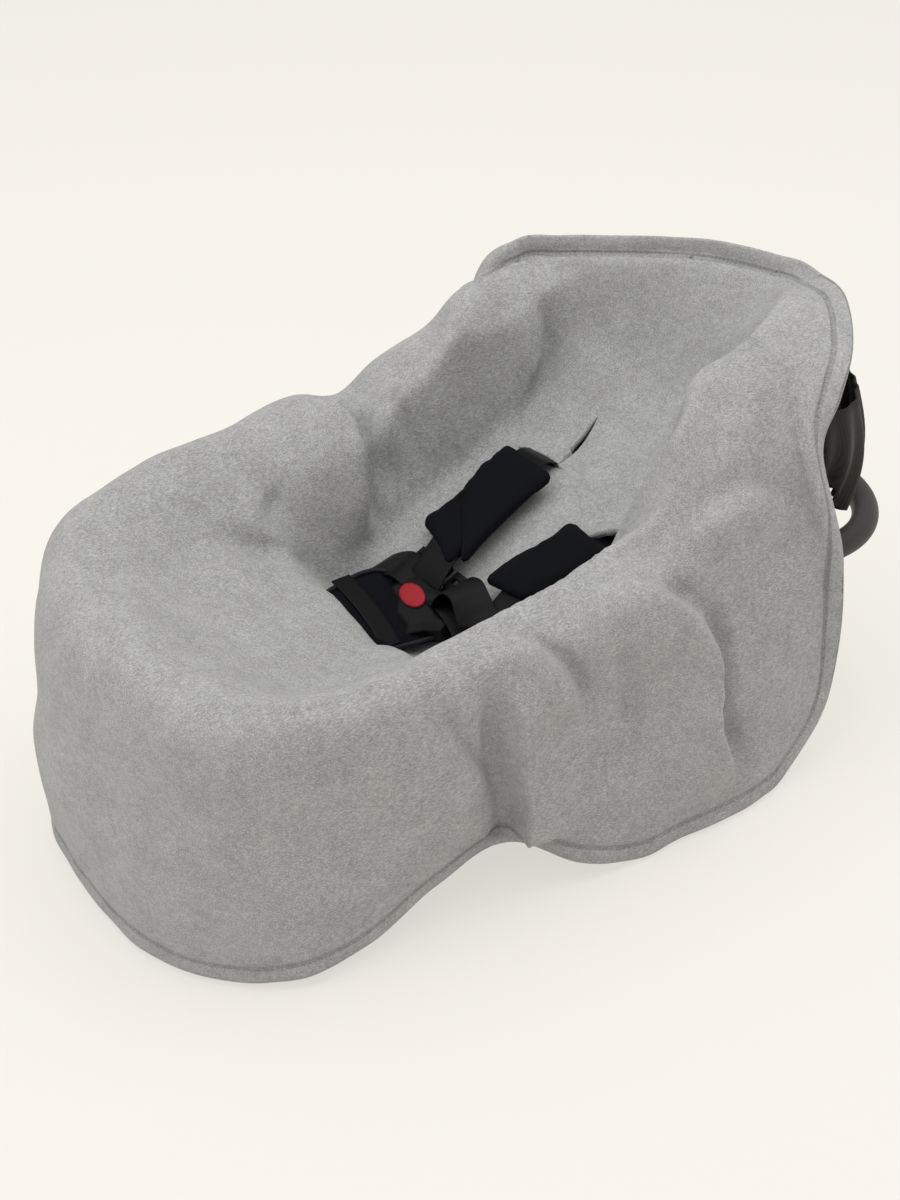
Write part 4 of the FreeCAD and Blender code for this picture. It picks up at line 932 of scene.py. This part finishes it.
def strap(name, left, right, steps=90, thick=WEB, body="seat"):
    """A webbing strap between two edge lines, with its weave running along it."""
    shape = bmesh.new()
    bmesh.ops.create_grid(shape, x_segments=6, y_segments=steps, size=1.0)
    bmesh.ops.transform(shape, verts=shape.verts,
                        matrix=Matrix.Translation((0, 0.5, 0)) @ Matrix.Diagonal((1, 0.5, 1, 1)))
    weave = shape.loops.layers.uv.new("strap")
    length = bend_length(left, right)
    for face in shape.faces:
        for loop in face.loops:
            spot = loop.vert.co
            loop[weave].uv = ((spot.x * 0.5 + 0.5) * WEBBING * MM, spot.y * length * MM)
    bend_along(shape, left, right)
    bmesh.ops.recalc_face_normals(shape, faces=shape.faces)
    bmesh.ops.solidify(shape, geom=shape.faces[:], thickness=thick * MM)
    rims = [e for e in shape.edges if len(e.link_faces) == 2
            and e.link_faces[0].normal.angle(e.link_faces[1].normal, 0) > 1.2]
    bmesh.ops.bevel(shape, geom=rims, offset=0.5 * MM, offset_type="OFFSET", segments=2,
                    profile=0.5, affect="EDGES", material=-1)
    bmesh.ops.recalc_face_normals(shape, faces=shape.faces)
    made = piece_from(name, shape, strap_weave)
    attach(made, body)
    return made


def edges_of(centres, across, half=WEBBING / 2):
    """Both edge lines of a strap from its middle and the way that it is wide."""
    ways = [np.array(a, float) * half / np.linalg.norm(a) for a in across]
    return ([tuple(np.array(c) - w) for c, w in zip(centres, ways)],
            [tuple(np.array(c) + w) for c, w in zip(centres, ways)])


# %% [markdown]
# Each shoulder strap comes from the plate behind the shell, through the slots in the shell, the
# foam and the cover, and then through a slit of the blanket. The child's right one runs straight
# to its tongue. The left one is slack: below its pad it turns over in a loop.

# %% Shoulder straps
behind = [(22, 258, 190), (40, 268, 214), (62, 280, 238), (65, 240, 244), (65, 200, 243)]
right_route = [(-x, y, z) for x, y, z in behind] + [
    (-65, 154, 242), (-64, 130, 252), (-61, 112, 260), (-57, 94, 258), (-45, 40, 245),
    (-30, -8, 233), (-18, -32, 228), (-13, -46, 221), (-10, -57, 213), (-8, -64, 204)]
right_ways = [(1, 0, 0)] * 7 + [(1, 0.12, 0), (1, 0.15, 0), (1, 0.1, 0), (1, 0.05, 0),
                                (1, 0.1, 0), (1, 0.16, 0), (1, 0.2, 0), (1, 0.2, 0)]
shoulder_right = strap("right_shoulder_webbing", *edges_of(right_route, right_ways), steps=160)
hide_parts("shoulder_strap_right")

left_route = behind + [(68, 156, 233), (76, 124, 231), (84, 98, 240), (86, 74, 247),
                       (84, 20, 239), (84, -16, 231), (88, -38, 223), (90, -54, 215),
                       (79, -62, 214), (64, -60, 224), (50, -57, 231), (39, -58, 229),
                       (32, -62, 220), (28, -64, 207)]
left_ways = [(1, 0, 0)] * 7 + [(1, -0.15, 0), (1, -0.12, 0), (1, -0.05, 0), (1, 0.1, 0),
                               (1, 0.3, 0.12), (0.8, 0.65, 0.25), (0.4, 1, 0.2),
                               (0.1, 1, 0.2), (-0.05, 1, 0.1), (-0.12, 1, 0), (-0.2, 1, -0.1),
                               (-0.2, 1, -0.2)]
shoulder_left = strap("left_shoulder_webbing", *edges_of(left_route, left_ways), steps=220)
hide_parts("shoulder_strap_left")
print("shoulder straps of", round(bend_length(right_route, right_route)), "and",
      round(bend_length(left_route, left_route)), "mm")

# %% [markdown]
# The waist straps come up from their anchors under the shell, through slots in the seat, and turn
# in to the tongues. The crotch strap holds the buckle from below, and the adjuster strap runs
# from the plate at the back, under the seat, to its lock at the front.

# %% Waist, crotch and adjuster straps
for side, label in ((1, "left"), (-1, "right")):
    reach = 1.0 if side > 0 else 0.92
    route = [(side * 20, -60, 210), (side * 40 * reach, -62, 214), (side * 62 * reach, -64, 206),
             (side * 80, -72, 190), (side * 88, -84, 164), (side * 84, -92, 110),
             (side * 84, -92, 36)]
    ways = [(side * 0.2, 1, 0.1), (side * 0.2, 1, 0.2), (side * 0.1, 1, 0.3),
            (0, 1, 0.2), (0, 1, 0), (0, 1, 0), (0, 1, 0)]
    waist = strap(label + "_waist_webbing", *edges_of(route, ways), steps=70)
    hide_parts("waist_strap_" + label)

crotch = strap("crotch_webbing", *edges_of([(0, -100, 188), (0, -128, 178), (0, -140, 150),
                                          (0, -142, 90), (0, -142, 29)], [(1, 0, 0)] * 5), steps=60)
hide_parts("crotch_strap")
adjuster = strap("adjuster_webbing", *edges_of([(0, -262, 214), (0, -300, 204), (0, -323, 170),
                                              (0, -305, 124), (0, -270, 70), (0, -225, 28),
                                              (0, -180, 19.6), (0, 0, 19.6), (0, 60, 30),
                                              (0, 120, 74), (0, 180, 118), (0, 236, 160),
                                              (0, 241, 184)], [(1, 0, 0)] * 13), steps=160)
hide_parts("adjuster_strap")
print("waist, crotch and adjuster straps")

# %% [markdown]
# ## The pads
# A pad is a stuffed sleeve of knit cloth round the strap. A bevelled box would look like rubber,
# so a cloth simulation blows each one up a little. The box is cut to its outline and bent on its
# route first. Then it is made into an even mesh, and its skin is given air and let go.

# %% Blow up a stuffed shape
def stuffed(name, left, right, thick, corner, material=None, cap=2.5, pressure=4.0, voxel=3.5):
    """A stuffed piece between two edge lines, of one thickness and with round corners."""
    left, right = np.array(left, float), np.array(right, float)
    length = bend_length(left, right)
    width = float(np.linalg.norm(right - left, axis=1).mean())
    shape = bmesh.new()
    bmesh.ops.create_cube(shape, size=1.0)
    bmesh.ops.scale(shape, verts=shape.verts, vec=(width, length, thick))
    upright = [e for e in shape.edges if abs(e.verts[0].co.z - e.verts[1].co.z) > 0.1]
    bmesh.ops.bevel(shape, geom=upright, offset=corner, offset_type="OFFSET", segments=5,
                    profile=0.5, affect="EDGES", material=-1)
    level = [e for e in shape.edges if abs(e.verts[0].co.z - e.verts[1].co.z) < 0.1]
    bmesh.ops.bevel(shape, geom=level, offset=thick * 0.42, offset_type="OFFSET", segments=3,
                    profile=0.5, affect="EDGES", material=-1)
    for axis, size in ((0, width), (1, length)):
        for cut in np.arange(-size / 2 + 6, size / 2 - 3, 6.0):
            spot, way = [0.0] * 3, [0.0] * 3
            spot[axis], way[axis] = float(cut), 1.0
            bmesh.ops.bisect_plane(shape, geom=shape.verts[:] + shape.edges[:] + shape.faces[:],
                                   plane_co=spot, plane_no=way, dist=1e-4)
    bmesh.ops.scale(shape, verts=shape.verts, vec=(2 / width, 1 / length, 1))
    bmesh.ops.translate(shape, verts=shape.verts, vec=(0, 0.5, 0))
    bend_along(shape, left, right)
    bmesh.ops.recalc_face_normals(shape, faces=shape.faces)
    made = piece_from(name, shape, material or pad_knit)
    blow_up(made, cap, pressure, voxel)
    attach(made, "seat")
    return made


def blow_up(made, cap, pressure, voxel):
    """Runs a short cloth simulation with air in the piece, and keeps its shape."""
    scene = bpy.context.scene
    made.data.remesh_voxel_size = voxel * MM
    remesh = made.modifiers.new("even", "REMESH")
    remesh.mode, remesh.voxel_size = "VOXEL", voxel * MM
    start = bpy.data.meshes.new_from_object(
        made.evaluated_get(bpy.context.evaluated_depsgraph_get()))
    made.modifiers.clear()
    material = made.data.materials[0]
    made.data = start
    before = np.array([v.co for v in start.vertices])
    cloth_part = made.modifiers.new("air", "CLOTH")
    settings = cloth_part.settings
    settings.use_pressure, settings.uniform_pressure_force = True, pressure
    settings.effector_weights.gravity = 0.0
    settings.quality, settings.mass = 4, 0.2
    cloth_part.point_cache.frame_start, cloth_part.point_cache.frame_end = 1, 20
    for step in range(1, 21):
        scene.frame_set(step)
    after = bpy.data.meshes.new_from_object(
        made.evaluated_get(bpy.context.evaluated_depsgraph_get()))
    made.modifiers.clear()
    moved = np.array([v.co for v in after.vertices]) - before
    far = np.maximum(np.linalg.norm(moved, axis=1), 1e-9)
    moved *= (np.minimum(far, cap * MM) / far)[:, None]
    for vertex, spot in zip(after.vertices, before + moved):
        vertex.co = spot
    made.data = after
    smooth = made.modifiers.new("smooth", "SUBSURF")
    smooth.levels = smooth.render_levels = 1
    final = bpy.data.meshes.new_from_object(
        made.evaluated_get(bpy.context.evaluated_depsgraph_get()))
    made.modifiers.clear()
    made.data = final
    final.materials.clear()
    final.materials.append(material)
    final.polygons.foreach_set("use_smooth", [True] * len(final.polygons))
    scene.frame_set(1)
    print(made.name, "blown up by", round(float(np.minimum(far, cap * MM).max()) / MM, 1), "mm")


# %% Shoulder pads
pad_left = stuffed("left_shoulder_sleeve",
                   [(47, 72, 255), (47, 40, 247), (44, 0, 237), (46, -34, 229)],
                   [(117, 63, 252), (113, 40, 246), (106, 10, 239), (96, -24, 231)],
                   11, 9)
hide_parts("shoulder_pad_left")
pad_right_under = stuffed("right_sleeve_under",
                          [(-84, 70, 248), (-78, 30, 239), (-70, -20, 230)],
                          [(-18, 70, 248), (-8, 30, 239), (4, -42, 225)], 8, 10)
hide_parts("shoulder_pad_right")
stuffed("right_sleeve_over", [(-88, 102, 263), (-82, 66, 256), (-70, 26, 245)],
        [(-14, 101, 263), (-2, 44, 250), (18, -38, 231)], 10, 10)
print("shoulder pads")

# %% [markdown]
# The crotch pad lies under the buckle, between it and the cloth. It is a flat pad with piping
# round its edge, and a band across it that the crotch strap goes through.

# %% Crotch pad
crotch_pad = stuffed("crotch_cushion",
                     [(-46, -152, 212), (-57, -120, 207), (-62, -92, 203), (-48, -66, 199)],
                     [(40, -156, 192), (38, -120, 184), (40, -96, 182), (50, -76, 188)],
                     8, 12, cap=1.2)
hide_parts("crotch_pad")


def piping(name, points, radius=2.0, material=None, body="seat"):
    """A round cord sewn along a line, as a mesh."""
    curve = bpy.data.curves.new(name, "CURVE")
    curve.dimensions = "3D"
    spline = curve.splines.new("NURBS")
    spline.points.add(len(points) - 1)
    for point, spot in zip(spline.points, points):
        point.co = (*at(*spot), 1)
    spline.order_u, spline.use_endpoint_u = 3, True
    curve.bevel_depth, curve.bevel_resolution, curve.resolution_u = radius * MM, 3, 12
    curve.use_fill_caps = True
    source = bpy.data.objects.new(name + "_line", curve)
    mesh = bpy.data.meshes.new_from_object(source)
    bpy.data.objects.remove(source)
    shape = bmesh.new()
    shape.from_mesh(mesh)
    bpy.data.meshes.remove(mesh)
    bmesh.ops.recalc_face_normals(shape, faces=shape.faces)
    made = piece_from(name, shape, material or pad_piping)
    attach(made, body)
    return made


piping("crotch_piping_far", [(-42, -151, 214), (-53, -122, 210), (-59, -95, 207),
                             (-55, -76, 205), (-39, -68, 200), (-24, -65, 196)], 2.6)
piping("crotch_piping_near", [(39, -152, 194), (36, -122, 187), (38, -98, 184),
                              (46, -80, 190), (40, -69, 191)], 2.6)
band = strap("crotch_band", [(-54, -134, 216), (-20, -134, 209), (10, -136, 201),
                             (36, -140, 193)],
             [(-57, -112, 213), (-22, -112, 206), (8, -114, 198), (34, -118, 190)], steps=30)

# %% [markdown]
# ## The buckle
# The housing has five blunt points: two at the top for the tongues, two at the sides and a chin.
# Its outline is a few corners, pulled up into a block, drawn in at the top and rounded. The
# button is an oval dome, and it rides on its own body so that it can be pressed.

# %% Housing and button
BUCKLE = (Matrix.Translation(at(0, -78, 197)) @ Matrix.Rotation(math.radians(25), 4, "X")
          @ Matrix.Diagonal((MM, MM, MM, 1)))


def drawn_block(outline, low, high, draw_in, crown, soft):
    """A block from an outline, with its top drawn in and its edges rounded."""
    shape = bmesh.new()
    corners = [shape.verts.new((x, y, low)) for x, y in outline]
    base = shape.faces.new(corners)
    top = bmesh.ops.extrude_face_region(shape, geom=[base])["geom"]
    bmesh.ops.translate(shape, verts=[g for g in top if isinstance(g, bmesh.types.BMVert)],
                        vec=(0, 0, high - low))
    lid = max(shape.faces, key=lambda f: f.calc_center_median().z)
    bmesh.ops.inset_individual(shape, faces=[lid], thickness=draw_in, depth=0)
    lid = min([f for f in shape.faces if abs(f.calc_center_median().z - high) < 0.01
               and all(abs(v.co.z - high) < 0.01 for v in f.verts)],
              key=lambda f: (f.calc_center_median() - Vector((0, 0, high))).length)
    bmesh.ops.translate(shape, verts=lid.verts[:], vec=(0, 0, crown))
    bmesh.ops.recalc_face_normals(shape, faces=shape.faces)
    edges = [e for e in shape.edges if e.calc_face_angle(0) > 0.15]
    bmesh.ops.bevel(shape, geom=edges, offset=soft, offset_type="OFFSET", segments=3,
                    profile=0.5, affect="EDGES", material=-1, clamp_overlap=True)
    return shape


HOUSING = [(-33, 13), (-33, -10), (-14, -15), (-4, -26), (26, -30), (36, -18), (52, -8),
           (50, 6), (34, 10), (26, 26), (6, 21), (-16, 22)]
housing = drawn_block(HOUSING, -13, 5, 9, 4.0, 1.3)
bmesh.ops.transform(housing, verts=housing.verts, matrix=BUCKLE)
housing = piece_from("buckle_housing", housing, buckle_plastic, False)
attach(housing, "seat")
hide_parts("buckle_body")

dome = bmesh.new()
bmesh.ops.create_circle(dome, cap_ends=True, segments=48, radius=1.0)
grown = bmesh.ops.extrude_face_region(dome, geom=dome.faces[:])["geom"]
bmesh.ops.translate(dome, verts=[g for g in grown if isinstance(g, bmesh.types.BMVert)],
                    vec=(0, 0, 1))
bmesh.ops.recalc_face_normals(dome, faces=dome.faces)
for inward, up in ((0.10, 0.10), (0.2, 0.08), (0.3, 0.04)):
    lid = max(dome.faces, key=lambda f: f.calc_center_median().z)
    bmesh.ops.inset_individual(dome, faces=[lid], thickness=inward, depth=up)
bmesh.ops.transform(dome, verts=dome.verts,
                    matrix=BUCKLE @ Matrix.Translation((0, 2, 8))
                    @ Matrix.Rotation(math.radians(-6), 4, "Z")
                    @ Matrix.Diagonal((17, 10.5, 3.2, 1)))
button = piece_from("button_dome", dome, red_plastic)
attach(button, "harness_button")
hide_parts("buckle_button")
print("buckle of", len(housing.data.polygons), "faces")

# %% [markdown]
# ## The return springs
# A spring behind each release button, and one under the adjuster's lever, close up when they are
# pressed. A stiff spring would stand in the way of the press. The real ones are wound coils. The
# frame stands plain tubes and a plain block in for them, and a copy of each one is kept as it is
# there.

# %% Copies of the return springs
# The frame's part, the joint that presses it, its axis, and how much of its length is left.
SPRINGS = {
    "left_return_spring": ("release_spring_left", "left_button_press", (1, 0, 0), 0.62),
    "right_return_spring": ("release_spring_right", "right_button_press", (-1, 0, 0), 0.62),
    "lever_return_spring": ("adjuster_spring", "adjuster_press", (0, 0, 1), 0.58),
}
for name, (part, joint, axis, keep) in SPRINGS.items():
    mesh = nodes[part].data.copy()
    mesh.transform(nodes[part].matrix_world)
    spring = bpy.data.objects.new(name, mesh)
    bpy.context.scene.collection.objects.link(spring)
    mesh.materials.clear()
    mesh.materials.append(steel)
    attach(spring, "seat")
    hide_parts(part)
    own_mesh(spring)
    print(name, "closes to", keep, "of its length")

# %% [markdown]
# ## The seat's own cover and foam
# Under the blanket the seat has a thin padded cover over a foam liner. They show only through
# the slits. Each is cut from the same draped sheet, a little lower, so they follow it closely,
# and both have an opening over the harness adjuster, where a hand reaches its lever.

# %% Cover and liner
# The opening over the lever: half its width, and where along the seat it starts and ends.
LEVER_HALF, LEVER_FROM, LEVER_TO = 28, -296, -236


def under_sheet(name, depth, thick, material, reach):
    """A closed sheet below the middle of the blanket, down by a depth, out to a reach."""
    shape = under_cloth.copy()
    far = [f for f in shape.faces if max(abs(f.calc_center_median().x) / reach[0],
                                         abs(f.calc_center_median().y - AXIS_Y - reach[2] * MM)
                                         / reach[1]) > MM]
    at_lever = [f for f in shape.faces if abs(f.calc_center_median().x) < LEVER_HALF * MM
                and LEVER_FROM < (f.calc_center_median().y - AXIS_Y) / MM < LEVER_TO]
    bmesh.ops.delete(shape, geom=list(set(far) | set(at_lever)), context="FACES")
    for _ in range(3):
        bmesh.ops.smooth_vert(shape, verts=shape.verts, factor=0.5, use_axis_x=True,
                              use_axis_y=True, use_axis_z=True)
    shape.normal_update()
    for vertex in shape.verts:
        vertex.co -= vertex.normal * depth * MM
    bmesh.ops.solidify(shape, geom=shape.faces[:], thickness=0.001 * MM)
    shape.normal_update()
    for vertex in [v for v in shape.verts if v.normal.z < -0.15]:
        vertex.co += vertex.normal * thick * MM
    made = piece_from(name, shape, material)
    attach(made, "seat")
    return made


cover = under_sheet("seat_cover_cloth", 12, 5, cover_cloth, (118, 215, -55))
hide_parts("seat_cover")
liner = under_sheet("foam_shell", 22, 8, bead_foam, (110, 200, -55))
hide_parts("foam_liner")
print("cover of", len(cover.data.polygons), "and liner of", len(liner.data.polygons), "faces")

# %% [markdown]
# The hem of the cover is gathered on elastic round the head end. It shows as dark pleats behind
# the blanket. A straight strip is folded to and fro in its length and bent round the shell: the
# elastic draws its lower edge in, so the pleats are deeper there.

# %% Gathered hem at the head
HEM_LINE = [(172, 236), (184, 256), (187, 278), (166, 310), (112, 340), (52, 352), (0, 355)]
half = np.array(HEM_LINE, float)
line = np.concatenate([half, half[-2::-1] * [-1, 1]])
gaps = np.linalg.norm(np.diff(line, axis=0), axis=1)
knots = np.concatenate([[0], np.cumsum(gaps)])
strip = bmesh.new()
bmesh.ops.create_grid(strip, x_segments=420, y_segments=14, size=1.0)
flat = np.array([v.co for v in strip.verts])
run = (flat[:, 0] + 1) / 2 * knots[-1]
drop = (1 - flat[:, 1]) / 2
spot = eased(knots, line, run)
heading = eased(knots, line, np.minimum(run + 1, knots[-1])) - eased(knots, line,
                                                                     np.maximum(run - 1, 0))
outward = np.stack([heading[:, 1], -heading[:, 0]], axis=1)
outward /= np.linalg.norm(outward, axis=1)[:, None]
beat = run / 21 + 0.35 * np.sin(run / 47) + 0.2 * np.sin(run / 17)
ends = np.clip(np.minimum(run, knots[-1] - run) / 60, 0, 1)
depth = (1.0 + 6.0 * drop) * np.sin(2 * np.pi * beat) * ends
bulge = 10 * np.sin(np.pi * drop) - 2 * drop ** 2
side = spot + outward * (depth + bulge)[:, None]
height = 370 - (30 + 92 * ends) * drop + 3 * np.sin(2 * np.pi * beat + 1) * drop
place(strip, np.column_stack([side, height]))
bmesh.ops.recalc_face_normals(strip, faces=strip.faces)
strip_area = sum(f.calc_area() for f in strip.faces)
bmesh.ops.solidify(strip, geom=strip.faces[:], thickness=2.0 * MM)
hem_piece = piece_from("gathered_hem", strip, cover_cloth)
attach(hem_piece, "seat")
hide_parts("cover_hem")
print("gathered hem of", round(strip_area, 3), "m2")

# %% [markdown]
# ## The hard parts
# The frame's own shell, handle, hubs and fittings have the right shapes already. They only need
# finishes: a grained moulding for the shell, a smoother one for the handle, rubber for the grip
# and feet, and bright zinc on the small steel parts.

# %% Finish the frame's own parts
FINISHES = {
    shell_plastic: ["seat_shell", "belt_guide_left", "belt_guide_right", "skid_left",
                    "skid_right", "adjuster_housing", "adjuster_lever"],
    handle_plastic: ["handle_bar", "hub_left", "hub_right", "hub_cap_left", "hub_cap_right",
                     "release_button_left", "release_button_right"],
    grip_foam: ["handle_grip"],
    rubber: ["rubber_feet"],
    buckle_plastic: ["buckle_tongue_left", "buckle_tongue_right"],
    steel: ["adjuster_pin", "buckle_spring", "crotch_anchor_plate",
            "front_anchor_bar", "rear_anchor_bar", "pivot_pin_left", "pivot_pin_right",
            "skid_screws", "splitter_plate",
            "waist_anchor_left", "waist_anchor_right"],
}
for finish, names in FINISHES.items():
    for name in names:
        for place_in in nodes[name].material_slots:
            place_in.material = finish
plain = [name for name, node in nodes.items() if not node.hide_render
         and node.data.materials[0].name not in [f.name for f in FINISHES]]
print("finished", sum(len(names) for names in FINISHES.values()), "parts, left plain:", plain)

# %% [markdown]
# ## Floor and light
# A plain pale floor lies under the seat. Three broad soft lamps light it from above, so the
# folds of the blanket shade gently, and the floor shows its own colour to the camera.

# %% Floor
PALE = (0.888, 0.862, 0.807, 1.0)
floor_shape = bmesh.new()
bmesh.ops.create_grid(floor_shape, x_segments=1, y_segments=1, size=14.0)
bmesh.ops.translate(floor_shape, verts=floor_shape.verts, vec=(0, 0, -0.0005))
pale = bpy.data.materials.new("pale_floor")
pale.use_nodes = True
tree = pale.node_tree
floor_shader = tree.nodes["Principled BSDF"]
floor_shader.inputs["Base Color"].default_value = PALE
floor_shader.inputs["Roughness"].default_value = 0.95
floor_shader.inputs["Specular IOR Level"].default_value = 0.05
glow = tree.nodes.new("ShaderNodeEmission")
glow.inputs["Color"].default_value = PALE
seen = tree.nodes.new("ShaderNodeLightPath")
blend = tree.nodes.new("ShaderNodeMixShader")
seen_share = maths(tree, "MULTIPLY", maths(tree, "MAXIMUM", seen.outputs["Is Camera Ray"],
                                           seen.outputs["Is Glossy Ray"]), 0.72)
tree.links.new(seen_share, blend.inputs[0])
tree.links.new(floor_shader.outputs[0], blend.inputs[1])
tree.links.new(glow.outputs[0], blend.inputs[2])
tree.links.new(blend.outputs[0], tree.nodes["Material Output"].inputs["Surface"])
floor = piece_from("floor", floor_shape, pale, False)

# %% Lamps and world
world = bpy.data.worlds.new("studio")
bpy.context.scene.world = world
world.use_nodes = True
world.node_tree.nodes["Background"].inputs["Color"].default_value = (1.0, 0.985, 0.96, 1)
world.node_tree.nodes["Background"].inputs["Strength"].default_value = 0.78


def lamp(name, place, target, size, power, colour=(1, 1, 1)):
    """A square soft lamp that points at a place."""
    light = bpy.data.lights.new(name, "AREA")
    light.shape = "SQUARE"
    light.size = size
    light.energy = power
    light.color = colour
    made = bpy.data.objects.new(name, light)
    made.location = place
    made.rotation_mode = "QUATERNION"
    made.rotation_quaternion = (Vector(target) - Vector(place)).to_track_quat("-Z", "Y")
    bpy.context.scene.collection.objects.link(made)
    return made


lamp("key_lamp", (0.5, 0.8, 2.8), (0, 0, 0.15), 1.6, 22.0)
lamp("top_lamp", (-0.5, -0.5, 2.7), (0, 0, 0.1), 2.2, 22.0)
lamp("fill_lamp", (0.1, -2.7, 1.9), (0, 0, 0.15), 2.2, 15.0)
bpy.context.scene.view_settings.view_transform = "Standard"
